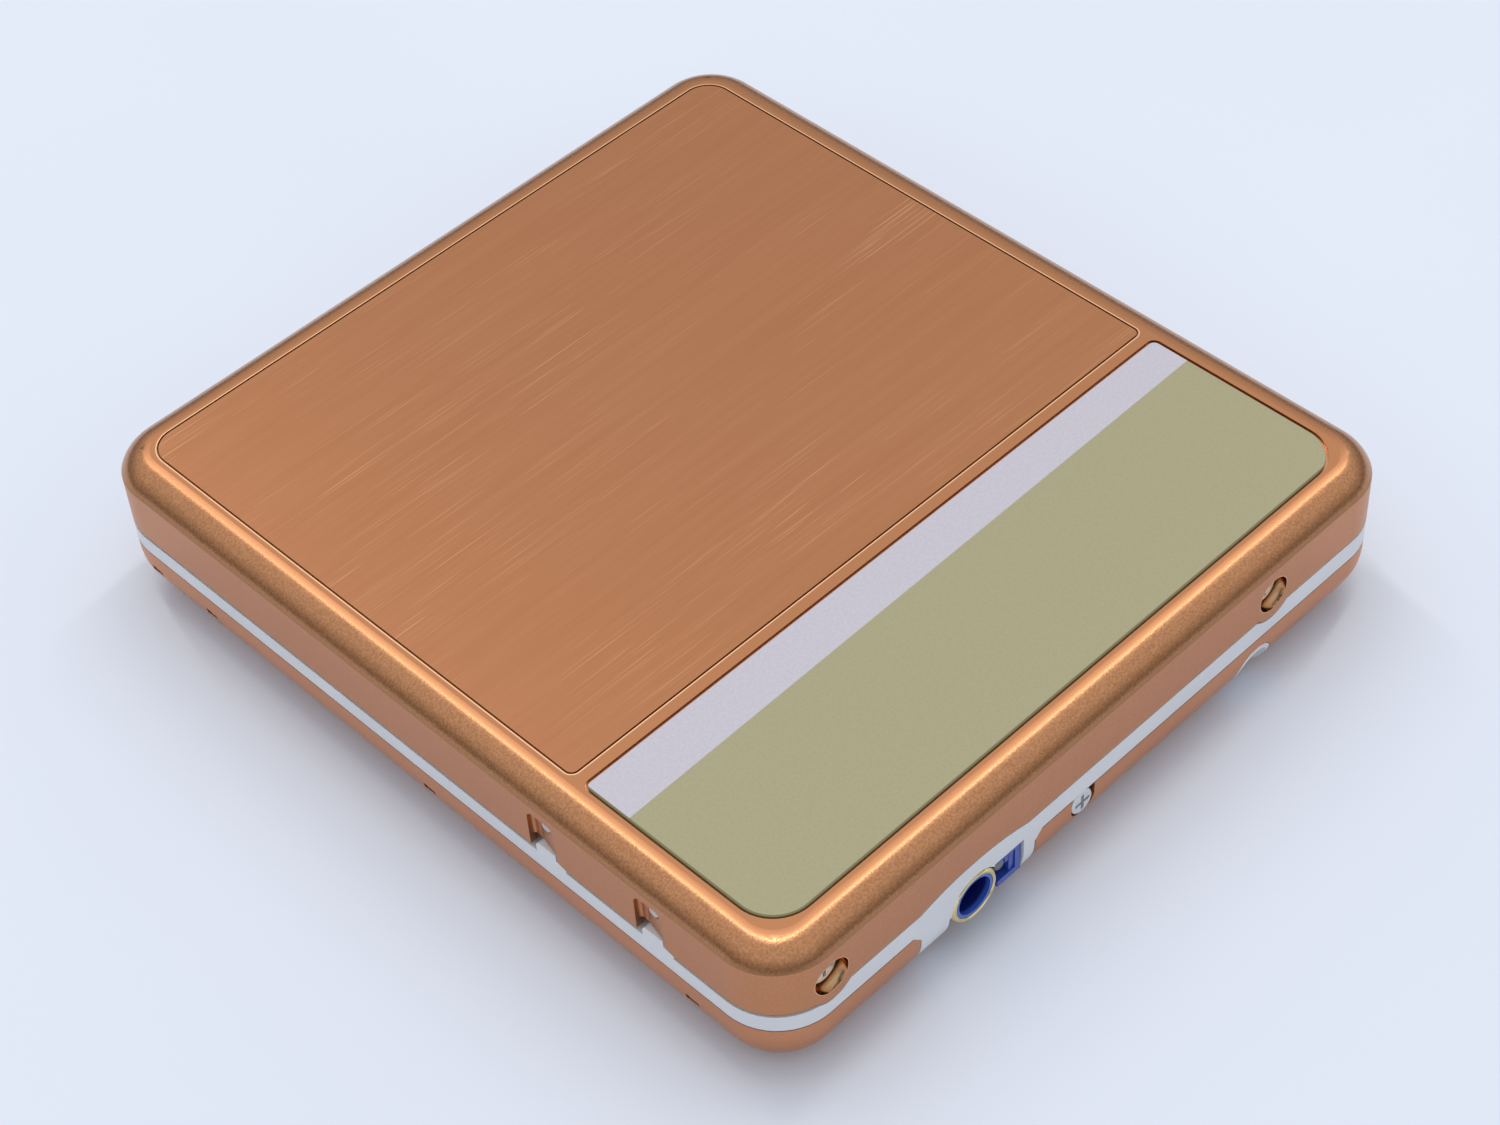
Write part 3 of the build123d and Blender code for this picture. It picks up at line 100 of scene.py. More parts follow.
def anodisedAluminiumLid():
    # Anodised aluminium, dyed copper. The field on top is brushed along the width, which spreads
    # its reflections; the rounded edge is bead-blasted and sparkles; the skirt is an even satin.
    material, tree = startMaterial("anodisedAluminiumLid")
    look = lidLook
    place = addNode(tree, "TexCoord").outputs["Object"]
    x, y, z = addNode(tree, "SeparateXYZ", {0: place}).outputs

    # the rounded field, whose far corners are tighter than its near ones
    middleY = (look["fieldHigh"] + look["fieldLow"]) / 2
    depth = (look["fieldHigh"] - look["fieldLow"]) / 2
    cornerSize = addNode(tree, "MapRange", {"Value": y, "From Min": mm(middleY - look["cornerChange"]),
                                            "From Max": mm(middleY + look["cornerChange"]),
                                            "To Min": mm(look["lowCorner"]),
                                            "To Max": mm(look["highCorner"])})
    sideways = addNode(tree, "Math", {0: x}, operation="ABSOLUTE")
    fromMiddle = addNode(tree, "Math", {0: y, 1: mm(middleY)}, operation="SUBTRACT")
    endways = addNode(tree, "Math", {0: fromMiddle}, operation="ABSOLUTE")
    reachX = addNode(tree, "Math", {0: sideways, 1: mm(look["fieldHalf"])}, operation="SUBTRACT")
    reachY = addNode(tree, "Math", {0: endways, 1: mm(depth)}, operation="SUBTRACT")
    cornerX = addNode(tree, "Math", {0: reachX, 1: cornerSize}, operation="ADD", use_clamp=True)
    cornerY = addNode(tree, "Math", {0: reachY, 1: cornerSize}, operation="ADD", use_clamp=True)
    cornerPoint = addNode(tree, "CombineXYZ", {0: cornerX, 1: cornerY})
    reach = addNode(tree, "VectorMath", {0: cornerPoint}, operation="LENGTH")
    past = addNode(tree, "Math", {0: reach, 1: cornerSize}, operation="SUBTRACT")
    inField = addNode(tree, "MapRange", {"Value": past, "From Min": mm(-look["fieldBlur"]), "From Max": 0.0,
                                         "To Min": 1.0, "To Max": 0.0})
    onTop = addNode(tree, "MapRange", {"Value": z, "From Min": mm(look["topHeight"] - look["topStart"]),
                                       "From Max": mm(look["topHeight"] - look["topEnd"])})
    field = addNode(tree, "Math", {0: inField, 1: onTop}, operation="MULTIPLY")

    # sunk places: the engraved line and the recess of the nameplate, inside the flat top; below they get
    # painted shade and painted light
    flatX = addNode(tree, "Math", {0: sideways, 1: mm(look["flatHalfX"])}, operation="LESS_THAN")
    wholeY = addNode(tree, "Math", {0: y}, operation="ABSOLUTE")
    flatY = addNode(tree, "Math", {0: wholeY, 1: mm(look["flatHalfY"])}, operation="LESS_THAN")
    flat = addNode(tree, "Math", {0: flatX, 1: flatY}, operation="MULTIPLY")
    sunk = addNode(tree, "Math", {0: flat, 1: onTop}, operation="SUBTRACT", use_clamp=True)

    # drilled pockets of the four screws
    toFront = addNode(tree, "Math", {0: x, 1: mm(look["pocketFront"])}, operation="SUBTRACT")
    toRear = addNode(tree, "Math", {0: x, 1: mm(look["pocketRear"])}, operation="SUBTRACT")
    frontGap = addNode(tree, "Math", {0: toFront}, operation="ABSOLUTE")
    rearGap = addNode(tree, "Math", {0: toRear}, operation="ABSOLUTE")
    nearest = addNode(tree, "Math", {0: frontGap, 1: rearGap}, operation="MINIMUM")
    rise = addNode(tree, "Math", {0: z, 1: mm(look["pocketHeight"])}, operation="SUBTRACT")
    pocketPoint = addNode(tree, "CombineXYZ", {0: nearest, 1: rise})
    pocketReach = addNode(tree, "VectorMath", {0: pocketPoint}, operation="LENGTH")
    pocket = addNode(tree, "Math", {0: pocketReach, 1: mm(look["pocketRadius"])}, operation="LESS_THAN")

    # brush marks: soft bands, and sparse bright hairlines that come in groups
    along = 1000 / look["brushLength"]
    acrossFine = 1000 / look["brushWidth"]
    bandScale = (along, acrossFine * look["bandWidening"], along)
    bandPoint = addNode(tree, "Mapping", {"Vector": place, "Scale": bandScale})
    band = addNode(tree, "TexNoise", {"Vector": bandPoint, "Scale": 1.0, "Detail": 3.0, "Roughness": 0.6})
    # the shift keeps the hairlines apart from the bands, which come from the same noise
    hairScale = (along * look["hairShortening"], acrossFine, along)
    hairPoint = addNode(tree, "Mapping", {"Vector": place, "Scale": hairScale, "Location": (3.1, 7.7, 0)})
    hair = addNode(tree, "TexNoise", {"Vector": hairPoint, "Scale": 1.0, "Detail": 1.0, "Roughness": 0.4})
    groupPoint = addNode(tree, "Mapping", {"Vector": place, "Scale": look["groupsPerMetre"]})
    group = addNode(tree, "TexNoise", {"Vector": groupPoint, "Scale": 1.0, "Detail": 2.0, "Roughness": 0.6})
    sparse = addNode(tree, "MapRange", {"Value": hair, "From Min": 0.63, "From Max": 0.72})
    gathered = addNode(tree, "MapRange", {"Value": group, "From Min": 0.42, "From Max": 0.72})
    mark = addNode(tree, "Math", {0: sparse, 1: gathered}, operation="MULTIPLY")
    bandTone = addNode(tree, "MapRange", {"Value": band, "From Min": 0.3, "From Max": 0.7})
    tone = addNode(tree, "Mix", {"Factor": bandTone, 6: hexToLinear(look["fieldShade"]),
                                 7: hexToLinear(look["fieldColor"])}, data_type="RGBA")
    brushed = addNode(tree, "Mix", {"Factor": mark, 6: tone, 7: hexToLinear(look["hairline"])},
                      data_type="RGBA")

    # blasted edge above the crease, satin skirt below it
    beadPoint = addNode(tree, "Mapping", {"Vector": place, "Scale": [1000 / look["beadSize"]] * 3})
    beads = addNode(tree, "TexNoise", {"Vector": beadPoint, "Scale": 1.0, "Detail": 2.0, "Roughness": 0.65})
    beadTone = addNode(tree, "MapRange", {"Value": beads, "From Min": 0.36, "From Max": 0.64})
    grained = addNode(tree, "Mix", {"Factor": beadTone, 6: hexToLinear(look["edgeShade"]),
                                    7: hexToLinear(look["edgeColor"])}, data_type="RGBA")
    crease = look["creaseHeight"]
    # painted shade: the blasted edge is darkened towards the crease, where it faces the dim horizon
    creaseShade = addNode(tree, "MapRange", {"Value": z, "From Min": mm(crease),
                                          "From Max": mm(crease + look["creaseShadeReach"]),
                                          "To Min": 1.0, "To Max": 0.0})
    edge = addNode(tree, "Mix", {"Factor": creaseShade, 6: grained, 7: hexToLinear(look["creaseShadeColor"])},
                   data_type="RGBA")
    skirt = addNode(tree, "Mix", {"Factor": beadTone, 6: hexToLinear(look["skirtShade"]),
                                  7: hexToLinear(look["skirtColor"])}, data_type="RGBA")
    blasted = addNode(tree, "MapRange", {"Value": z, "From Min": mm(crease - look["creaseBlur"]),
                                         "From Max": mm(crease + look["creaseBlur"])})
    drilled = addNode(tree, "Mix", {"Factor": pocket, 6: skirt, 7: hexToLinear(look["pocketColor"])},
                      data_type="RGBA")
    rounded = addNode(tree, "Mix", {"Factor": blasted, 6: drilled, 7: edge}, data_type="RGBA")
    outside = addNode(tree, "Mix", {"Factor": onTop, 6: rounded, 7: hexToLinear(look["flatColor"])},
                      data_type="RGBA")
    # painted highlight: a thin lighter line just outside the engraved line, where its outer edge catches the
    # light
    lipHighlightBand = addNode(tree, "Math", {0: past, 1: mm(look["lipMiddle"]), 2: mm(look["lipHalf"])},
                      operation="COMPARE")
    lipHighlight = addNode(tree, "Math", {0: lipHighlightBand, 1: onTop}, operation="MULTIPLY")
    withLipHighlight = addNode(tree, "Mix", {"Factor": lipHighlight, 6: outside, 7: hexToLinear(look["lipHighlightColor"])},
                     data_type="RGBA")
    surface = addNode(tree, "Mix", {"Factor": field, 6: withLipHighlight, 7: brushed}, data_type="RGBA")
    # painted shade darkens the engraved line; painted light brightens the recess round the nameplate against
    # its shade
    inRecess = addNode(tree, "Math", {0: y, 1: mm(look["recessStart"])}, operation="GREATER_THAN")
    sunkShadeAndLight = addNode(tree, "Mix", {"Factor": inRecess, 6: hexToLinear(look["grooveShadeColor"]),
                                     7: hexToLinear(look["recessLightColor"])}, data_type="RGBA")
    color = addNode(tree, "Mix", {"Factor": sunk, 6: surface, 7: sunkShadeAndLight}, data_type="RGBA")

    beadsOnly = addNode(tree, "Math", {0: blasted, 1: onTop}, operation="SUBTRACT", use_clamp=True)
    beadHeight = addNode(tree, "Math", {0: beads, 1: beadsOnly}, operation="MULTIPLY")
    brushHeight = addNode(tree, "Math", {0: band, 1: field}, operation="MULTIPLY")
    brushNormal = addNode(tree, "Bump", {"Height": brushHeight, "Distance": mm(look["brushDepth"]),
                                         "Strength": 0.4})
    normal = addNode(tree, "Bump", {"Height": beadHeight, "Distance": mm(look["beadDepth"]), "Strength": 0.55,
                                    "Normal": brushNormal})
    skirtRough = addNode(tree, "MapRange", {"Value": pocket, "To Min": look["skirtRough"],
                                            "To Max": look["pocketRough"]})
    edgeRough = addNode(tree, "MapRange", {"Value": blasted, "To Min": skirtRough,
                                           "To Max": look["edgeRough"]})
    roughness = addNode(tree, "MapRange", {"Value": onTop, "To Min": edgeRough, "To Max": look["topRough"]})
    endMaterial(tree, {"Base Color": color, "Metallic": 1.0, "Roughness": roughness, "Normal": normal})
    return material


# The tray and the battery door, which is a piece of the same shell.
trayLook = {"color": "#D4956D", "shade": "#CA8B64", "grainScale": 5000, "cloudScale": 60, "grainDepth": 0.006,
            "lowRough": 0.36, "highRough": 0.42}


def anodisedAluminiumTray():
    # Anodised aluminium, dyed copper and finely blasted: an even satin with a faint grain.
    material, tree = startMaterial("anodisedAluminiumTray")
    look = trayLook
    place = addNode(tree, "TexCoord").outputs["Object"]
    grain = addNode(tree, "TexNoise", {"Vector": place, "Scale": look["grainScale"], "Detail": 2.0,
                                       "Roughness": 0.6})
    cloud = addNode(tree, "TexNoise", {"Vector": place, "Scale": look["cloudScale"], "Detail": 2.0})
    tone = addNode(tree, "Math", {0: grain, 1: cloud}, operation="MULTIPLY")
    toned = addNode(tree, "MapRange", {"Value": tone, "From Min": 0.12, "From Max": 0.38})
    color = addNode(tree, "Mix", {"Factor": toned, 6: hexToLinear(look["shade"]),
                                  7: hexToLinear(look["color"])}, data_type="RGBA")
    roughness = addNode(tree, "MapRange", {"Value": grain, "From Min": 0.3, "From Max": 0.7,
                                           "To Min": look["lowRough"], "To Max": look["highRough"]})
    normal = addNode(tree, "Bump", {"Height": grain, "Distance": mm(look["grainDepth"]), "Strength": 0.5})
    endMaterial(tree, {"Base Color": color, "Metallic": 1.0, "Roughness": roughness, "Normal": normal})
    return material


def mouldedPlastic(name, color, shade, rough, grainSize=0.25, grainDepth=0.006, coat=0.0):
    # Injection-moulded plastic: one body colour with a faint mottle and a fine spark-eroded grain.
    material, tree = startMaterial(name)
    place = addNode(tree, "TexCoord").outputs["Object"]
    grain = addNode(tree, "TexNoise", {"Vector": place, "Scale": 1000 / grainSize, "Detail": 2.0,
                                       "Roughness": 0.6})
    cloud = addNode(tree, "TexNoise", {"Vector": place, "Scale": 110, "Detail": 2.0})
    mottle = addNode(tree, "MapRange", {"Value": cloud, "From Min": 0.35, "From Max": 0.65})
    mixed = addNode(tree, "Mix", {"Factor": mottle, 6: hexToLinear(shade), 7: hexToLinear(color)},
                    data_type="RGBA")
    roughness = addNode(tree, "MapRange", {"Value": grain, "From Min": 0.3, "From Max": 0.7,
                                           "To Min": rough - 0.04, "To Max": rough + 0.05})
    normal = addNode(tree, "Bump", {"Height": grain, "Distance": mm(grainDepth), "Strength": 0.5})
    endMaterial(tree, {"Base Color": mixed, "Roughness": roughness, "Coat Weight": coat,
                       "Coat Roughness": 0.1, "Normal": normal})
    return material


# Insulator of the headphone socket: lighter at its mouth, with painted shade darkening it down its bore.
insulator = {"mouth": "#3A60C4", "bore": "#141E6C", "mouthY": 40.78, "boreShadeY": 40.52, "mottle": 0.1,
             "rough": 0.28}


def socketInsulator():
    # Injection-moulded ABS, glossy from its polished mould.
    material, tree = startMaterial("socketInsulator")
    look = insulator
    place = addNode(tree, "TexCoord").outputs["Object"]
    y = addNode(tree, "SeparateXYZ", {0: place}).outputs[1]
    cloud = addNode(tree, "TexNoise", {"Vector": place, "Scale": 900, "Detail": 2.0})
    # painted shade: the colour darkens down the bore, away from the lighter mouth; the mottle breaks up the
    # line
    shadeY = addNode(tree, "Math", {0: cloud, 1: mm(look["mottle"]), 2: y}, operation="MULTIPLY_ADD")
    depth = addNode(tree, "MapRange", {"Value": shadeY, "From Min": mm(look["boreShadeY"]),
                                       "From Max": mm(look["mouthY"])})
    color = addNode(tree, "Mix", {"Factor": depth, 6: hexToLinear(look["bore"]),
                                  7: hexToLinear(look["mouth"])}, data_type="RGBA")
    endMaterial(tree, {"Base Color": color, "Roughness": look["rough"], "Coat Weight": 0.2,
                       "Coat Roughness": 0.1})
    return material


# The nameplate: the border between strip and field is a straight line, slightly aslant, and a
# narrow band of painted shade runs round the plate's outer edge, where the gap round it falls.
plateLook = {"borderAtMiddle": 21.6, "borderSlope": 0.0152, "borderBlur": 0.04, "khaki": "#A29D7A",
             "khakiShade": "#9E9976", "strip": "#C1BFCA", "stripShade": "#BCB9C5", "edgeColor": "#6E6640",
             "gapShadeWidth": 0.2, "gapShadeBlur": 0.03, "halfWidth": 33.8, "highEnd": 37.8, "cornerRadius": 3.6,
             "sideEnd": 15.18, "faceStart": 15.24, "flakesPerMetre": 4200, "flakeDepth": 0.002}


def paintedNameplate():
    # Screen-printed aluminium label under clear lacquer: khaki field, pearl strip, fine flake. A narrow
    # band round its outer edge, and its sides, are a darker olive: painted shade of the gap round it.
    material, tree = startMaterial("paintedNameplate")
    look = plateLook
    place = addNode(tree, "TexCoord").outputs["Object"]
    x, y, z = addNode(tree, "SeparateXYZ", {0: place}).outputs
    border = addNode(tree, "Math", {0: x, 1: look["borderSlope"], 2: mm(look["borderAtMiddle"])},
                     operation="MULTIPLY_ADD")
    past = addNode(tree, "Math", {0: y, 1: border}, operation="SUBTRACT")
    inField = addNode(tree, "MapRange", {"Value": past, "From Min": mm(-look["borderBlur"]),
                                         "From Max": mm(look["borderBlur"])})
    flakes = addNode(tree, "TexNoise", {"Vector": place, "Scale": look["flakesPerMetre"], "Detail": 1.0})
    flake = addNode(tree, "MapRange", {"Value": flakes, "From Min": 0.35, "From Max": 0.65})
    khaki = addNode(tree, "Mix", {"Factor": flake, 6: hexToLinear(look["khakiShade"]),
                                  7: hexToLinear(look["khaki"])}, data_type="RGBA")
    strip = addNode(tree, "Mix", {"Factor": flake, 6: hexToLinear(look["stripShade"]),
                                  7: hexToLinear(look["strip"])}, data_type="RGBA")
    face = addNode(tree, "Mix", {"Factor": inField, 6: strip, 7: khaki}, data_type="RGBA")
    radius = look["cornerRadius"]
    outX = addNode(tree, "Math", {0: x, 1: mm(look["halfWidth"] - radius)}, operation="SUBTRACT",
                   use_clamp=True)
    outY = addNode(tree, "Math", {0: y, 1: mm(look["highEnd"] - radius)}, operation="SUBTRACT",
                   use_clamp=True)
    cornerPoint = addNode(tree, "CombineXYZ", {0: outX, 1: outY})
    reach = addNode(tree, "VectorMath", {0: cornerPoint}, operation="LENGTH")
    # painted shade of the gap round the plate: the olive covers a narrow band of the face and the sides
    gapShadeStart = radius - look["gapShadeWidth"]
    inside = addNode(tree, "MapRange", {"Value": reach, "From Min": mm(gapShadeStart - look["gapShadeBlur"]),
                                        "From Max": mm(gapShadeStart + look["gapShadeBlur"]),
                                        "To Min": 1.0, "To Max": 0.0})
    onFace = addNode(tree, "MapRange", {"Value": z, "From Min": mm(look["sideEnd"]),
                                        "From Max": mm(look["faceStart"])})
    printed = addNode(tree, "Math", {0: onFace, 1: inside}, operation="MULTIPLY")
    color = addNode(tree, "Mix", {"Factor": printed, 6: hexToLinear(look["edgeColor"]), 7: face},
                    data_type="RGBA")
    roughness = addNode(tree, "MapRange", {"Value": flake, "To Min": 0.38, "To Max": 0.46})
    normal = addNode(tree, "Bump", {"Height": flakes, "Distance": mm(look["flakeDepth"]), "Strength": 0.4})
    endMaterial(tree, {"Base Color": color, "Metallic": 0.1, "Roughness": roughness, "Coat Weight": 0.2,
                       "Coat Roughness": 0.3, "Normal": normal})
    return material


def platedMetal(name, color, shade, rough, grainSize=0.4, stretch=1.0, metallic=1.0):
    # Plated or rolled metal: tinted reflections with faint handling marks in the roughness.
    material, tree = startMaterial(name)
    place = addNode(tree, "TexCoord").outputs["Object"]
    across = 1000 / grainSize
    grainPoint = addNode(tree, "Mapping", {"Vector": place, "Scale": (across, across / stretch, across)})
    grain = addNode(tree, "TexNoise", {"Vector": grainPoint, "Scale": 1.0, "Detail": 2.0, "Roughness": 0.55})
    tone = addNode(tree, "MapRange", {"Value": grain, "From Min": 0.3, "From Max": 0.7})
    mixed = addNode(tree, "Mix", {"Factor": tone, 6: hexToLinear(shade), 7: hexToLinear(color)},
                    data_type="RGBA")
    roughness = addNode(tree, "MapRange", {"Value": tone, "To Min": rough - 0.04, "To Max": rough + 0.08})
    normal = addNode(tree, "Bump", {"Height": grain, "Distance": mm(0.003), "Strength": 0.3})
    endMaterial(tree, {"Base Color": mixed, "Metallic": metallic, "Roughness": roughness, "Normal": normal})
    return material


# The printed circuit board, whose tracks are the borders of stretched cells.
boardLook = {"track": "#1E6E42", "ground": "#125030", "cellScale": (700, 700, 1), "trackDepth": 0.03,
             "rough": 0.32}


def solderResist():
    # Fibreglass board under green solder resist, with copper tracks showing through as ridges.
    material, tree = startMaterial("solderResist")
    look = boardLook
    place = addNode(tree, "TexCoord").outputs["Object"]
    cellPoint = addNode(tree, "Mapping", {"Vector": place, "Scale": look["cellScale"]})
    cells = addNode(tree, "TexVoronoi", {"Vector": cellPoint, "Scale": 1.0}, distance="CHEBYCHEV",
                    feature="F1")
    track = addNode(tree, "MapRange", {"Value": cells.outputs["Distance"], "From Min": 0.30,
                                       "From Max": 0.36})
    color = addNode(tree, "Mix", {"Factor": track, 6: hexToLinear(look["ground"]),
                                  7: hexToLinear(look["track"])}, data_type="RGBA")
    normal = addNode(tree, "Bump", {"Height": track, "Distance": mm(look["trackDepth"]), "Strength": 0.5})
    endMaterial(tree, {"Base Color": color, "Roughness": look["rough"], "Coat Weight": 0.2, "Normal": normal})
    return material


# The lens of the pickup.
lensLook = {"color": "#8E7CC4", "shade": "#6F5FA8", "rough": 0.03, "ior": 1.52, "clearness": 0.6}


def coatedGlass():
    # Moulded objective lens with an antireflection coat: half clear, with a violet cast.
    material, tree = startMaterial("coatedGlass")
    look = lensLook
    place = addNode(tree, "TexCoord").outputs["Object"]
    cloud = addNode(tree, "TexNoise", {"Vector": place, "Scale": 500, "Detail": 1.0})
    color = addNode(tree, "Mix", {"Factor": cloud, 6: hexToLinear(look["shade"]),
                                  7: hexToLinear(look["color"])}, data_type="RGBA")
    endMaterial(tree, {"Base Color": color, "Roughness": look["rough"], "IOR": look["ior"],
                       "Transmission Weight": look["clearness"], "Coat Weight": 1.0, "Coat Roughness": 0.02})
    return material


# The ribbon cable of the motors.
ribbonLook = {"film": "#C8862A", "track": "#8A5414", "pitch": 0.8, "rough": 0.3}


def polyimideFilm():
    # Flexible circuit: amber polyimide over copper tracks that run along the ribbon.
    material, tree = startMaterial("polyimideFilm")
    look = ribbonLook
    place = addNode(tree, "TexCoord").outputs["Object"]
    x = addNode(tree, "SeparateXYZ", {0: place}).outputs[0]
    counted = addNode(tree, "Math", {0: x, 1: 1 / mm(look["pitch"])}, operation="MULTIPLY")
    wave = addNode(tree, "Math", {0: counted, 1: 0.5}, operation="PINGPONG")
    track = addNode(tree, "MapRange", {"Value": wave, "From Min": 0.22, "From Max": 0.28})
    color = addNode(tree, "Mix", {"Factor": track, 6: hexToLinear(look["film"]),
                                  7: hexToLinear(look["track"])}, data_type="RGBA")
    endMaterial(tree, {"Base Color": color, "Roughness": look["rough"], "Coat Weight": 0.4,
                       "Coat Roughness": 0.1})
    return material


# Every finish by its name; the plastics and metals differ in their settings alone.
finishes = {
    "copperLid": anodisedAluminiumLid(),
    "copperTray": anodisedAluminiumTray(),
    "nameplate": paintedNameplate(),
    "socketInsulator": socketInsulator(),
    "solderResist": solderResist(),
    "coatedGlass": coatedGlass(),
    "polyimideFilm": polyimideFilm(),
}
plastics = {
    "whiteAbs": {"color": "#E4E7EA", "shade": "#DDE0E4", "rough": 0.38, "coat": 0.1},
    "greyAbs": {"color": "#C9CBCD", "shade": "#BFC2C4", "rough": 0.45},
    "keyAbs": {"color": "#B9BBBF", "shade": "#B0B2B6", "rough": 0.36, "coat": 0.15},
    "blueAbs": {"color": "#3050B4", "shade": "#2646A2", "rough": 0.30, "coat": 0.2},
    "blackEpoxy": {"color": "#232427", "shade": "#1C1D1F", "rough": 0.55, "grainSize": 0.15,
                   "grainDepth": 0.01},
    "blackCasting": {"color": "#2E2F32", "shade": "#26272A", "rough": 0.5, "grainSize": 0.2,
                     "grainDepth": 0.02},
    "darkNylon": {"color": "#4B4D50", "shade": "#434548", "rough": 0.45},
    "blackRubber": {"color": "#2A2A2B", "shade": "#222223", "rough": 0.7, "grainSize": 0.3,
                    "grainDepth": 0.01},
    "batterySleeve": {"color": "#5E6670", "shade": "#565E68", "rough": 0.32, "coat": 0.3},
    "markInk": {"color": "#3A3C40", "shade": "#34363A", "rough": 0.5},
    "capacitorBody": {"color": "#B08A5A", "shade": "#A47E50", "rough": 0.5, "grainSize": 0.1},
}
metals = {
    "nickelPlate": {"color": "#D4D3D0", "shade": "#C6C5C2", "rough": 0.22},
    "zincScrew": {"color": "#E6E8EA", "shade": "#DADCDE", "rough": 0.34, "metallic": 0.75},
    "springSteel": {"color": "#C9C3B4", "shade": "#B9B3A5", "rough": 0.28},
    "goldPlate": {"color": "#F3E3AC", "shade": "#E9D799", "rough": 0.16},
    "zincPlate": {"color": "#C4C7C7", "shade": "#B4B7B8", "rough": 0.40, "grainSize": 1.2, "stretch": 4.0,
                  "metallic": 0.75},
    "pinSteel": {"color": "#8C8E92", "shade": "#7E8084", "rough": 0.40},
    "drawnCan": {"color": "#B4B4B2", "shade": "#A7A7A5", "rough": 0.32, "grainSize": 0.6},
}
for name, settings in plastics.items():
    finishes[name] = mouldedPlastic(name, **settings)
for name, settings in metals.items():
    finishes[name] = platedMetal(name, **settings)

nodeFinishes = {
    "copperLid": ["lid_cover"],
    "copperTray": ["bottom_cover", "battery_door"],
    "nameplate": ["nameplate"],
    "whiteAbs": ["mid_frame", "strap_eyelet"],
    "greyAbs": ["lid_frame"],
    "keyAbs": ["hold_switch", "open_slider", "key_stop", "key_play", "key_skip_back",
               "key_skip_forward", "key_volume_down", "key_volume_up"],
    "socketInsulator": ["jack_body"],
    "blueAbs": ["remote_connector"],
    "blackEpoxy": ["chips"],
    "blackCasting": ["pickup"],
    "darkNylon": ["turntable"],
    "batterySleeve": ["battery"],
    "nickelPlate": ["door_pin", "hinge_pins", "deck_screws", "locating_pins", "guide_shafts", "lead_screw"],
    "zincScrew": ["base_screws", "side_screw", "lid_screws"],
    "springSteel": ["battery_contact", "door_contact"],
    "goldPlate": ["jack_ring"],
    "zincPlate": ["deck", "disc_holder", "latch_plate"],
    "drawnCan": ["spindle_motor", "sled_motor"],
    "pinSteel": ["remote_pin"],
    "solderResist": ["main_board", "key_contacts"],
    "coatedGlass": ["lens"],
    "polyimideFilm": ["motor_cable"],
}
for finish, names in nodeFinishes.items():
    for name in names:
        nodes[name].data.materials.clear()
        nodes[name].data.materials.append(finishes[finish])
print("stage: finishes assigned")


def selectFaces(piece, test):
    # in edit mode, selects only the faces whose centre, in millimetres, and normal pass the test
    shape = bmesh.from_edit_mesh(piece.data)
    bpy.ops.mesh.select_mode(type="FACE")
    for face in shape.faces:
        face.select_set(bool(test(face.calc_center_median() * 1000, face.normal)))
    bmesh.update_edit_mesh(piece.data)


def finishPiece(piece, name, body, finish, smoothAngle=35):
    # applies place, turn and scale, so that the piece ends with its object at the origin
    bpy.ops.object.select_all(action="DESELECT")
    piece.select_set(True)
    bpy.context.view_layer.objects.active = piece
    bpy.ops.object.transform_apply(location=True, rotation=True, scale=True)
    bpy.ops.object.shade_smooth_by_angle(angle=math.radians(smoothAngle))
    piece.name = name
    if not piece.data.materials:
        piece.data.materials.append(finishes[finish])
    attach(piece, body)


def turnRing(place, steps, sides=64):
    # ring turned about Z: steps are (radius, height) round its section, back to the first
    bpy.ops.object.select_all(action="DESELECT")
    radius, height = steps[0]
    middle = [mm(v) for v in place]
    bpy.ops.mesh.primitive_circle_add(vertices=sides, radius=mm(radius),
                                      location=(middle[0], middle[1], middle[2] + mm(height)))
    piece = bpy.context.object
    bpy.ops.object.mode_set(mode="EDIT")
    bpy.ops.mesh.select_mode(type="VERT")
    bpy.ops.mesh.select_all(action="SELECT")
    for nextRadius, nextHeight in steps[1:] + steps[:1]:
        bpy.ops.mesh.extrude_region_move(TRANSFORM_OT_translate={"value": (0, 0, mm(nextHeight - height))})
        grow = nextRadius / radius
        bpy.ops.transform.resize(value=(grow, grow, 1), center_override=middle)
        radius, height = nextRadius, nextHeight
    bpy.ops.mesh.select_all(action="SELECT")
    bpy.ops.mesh.remove_doubles(threshold=mm(0.001))
    bpy.ops.mesh.normals_make_consistent(inside=False)
    bpy.ops.object.mode_set(mode="OBJECT")
    bpy.ops.object.transform_apply(location=True)
    return piece


def addBlock(place, size, bevelSize, segments=2):
    # rounded block at its place, still in object mode and selected
    bpy.ops.object.select_all(action="DESELECT")
    bpy.ops.mesh.primitive_cube_add(size=1, location=[mm(v) for v in place], scale=[mm(v) for v in size])
    bpy.ops.object.transform_apply(location=False, rotation=False, scale=True)
    bpy.ops.object.mode_set(mode="EDIT")
    bpy.ops.mesh.select_all(action="SELECT")
    bpy.ops.mesh.bevel(offset=mm(bevelSize), segments=segments, affect="EDGES")
    bpy.ops.object.mode_set(mode="OBJECT")
    return bpy.context.object


def addDome(radius, height, squash, segments):
    # ball flattened about its own height
    bpy.ops.object.select_all(action="DESELECT")
    bpy.ops.mesh.primitive_uv_sphere_add(segments=segments, ring_count=12, radius=mm(radius),
                                         location=(0, 0, mm(height)))
    bpy.ops.object.mode_set(mode="EDIT")
    bpy.ops.mesh.select_all(action="SELECT")
    bpy.ops.transform.resize(value=(1, 1, squash))
    bpy.ops.object.mode_set(mode="OBJECT")
    return bpy.context.object


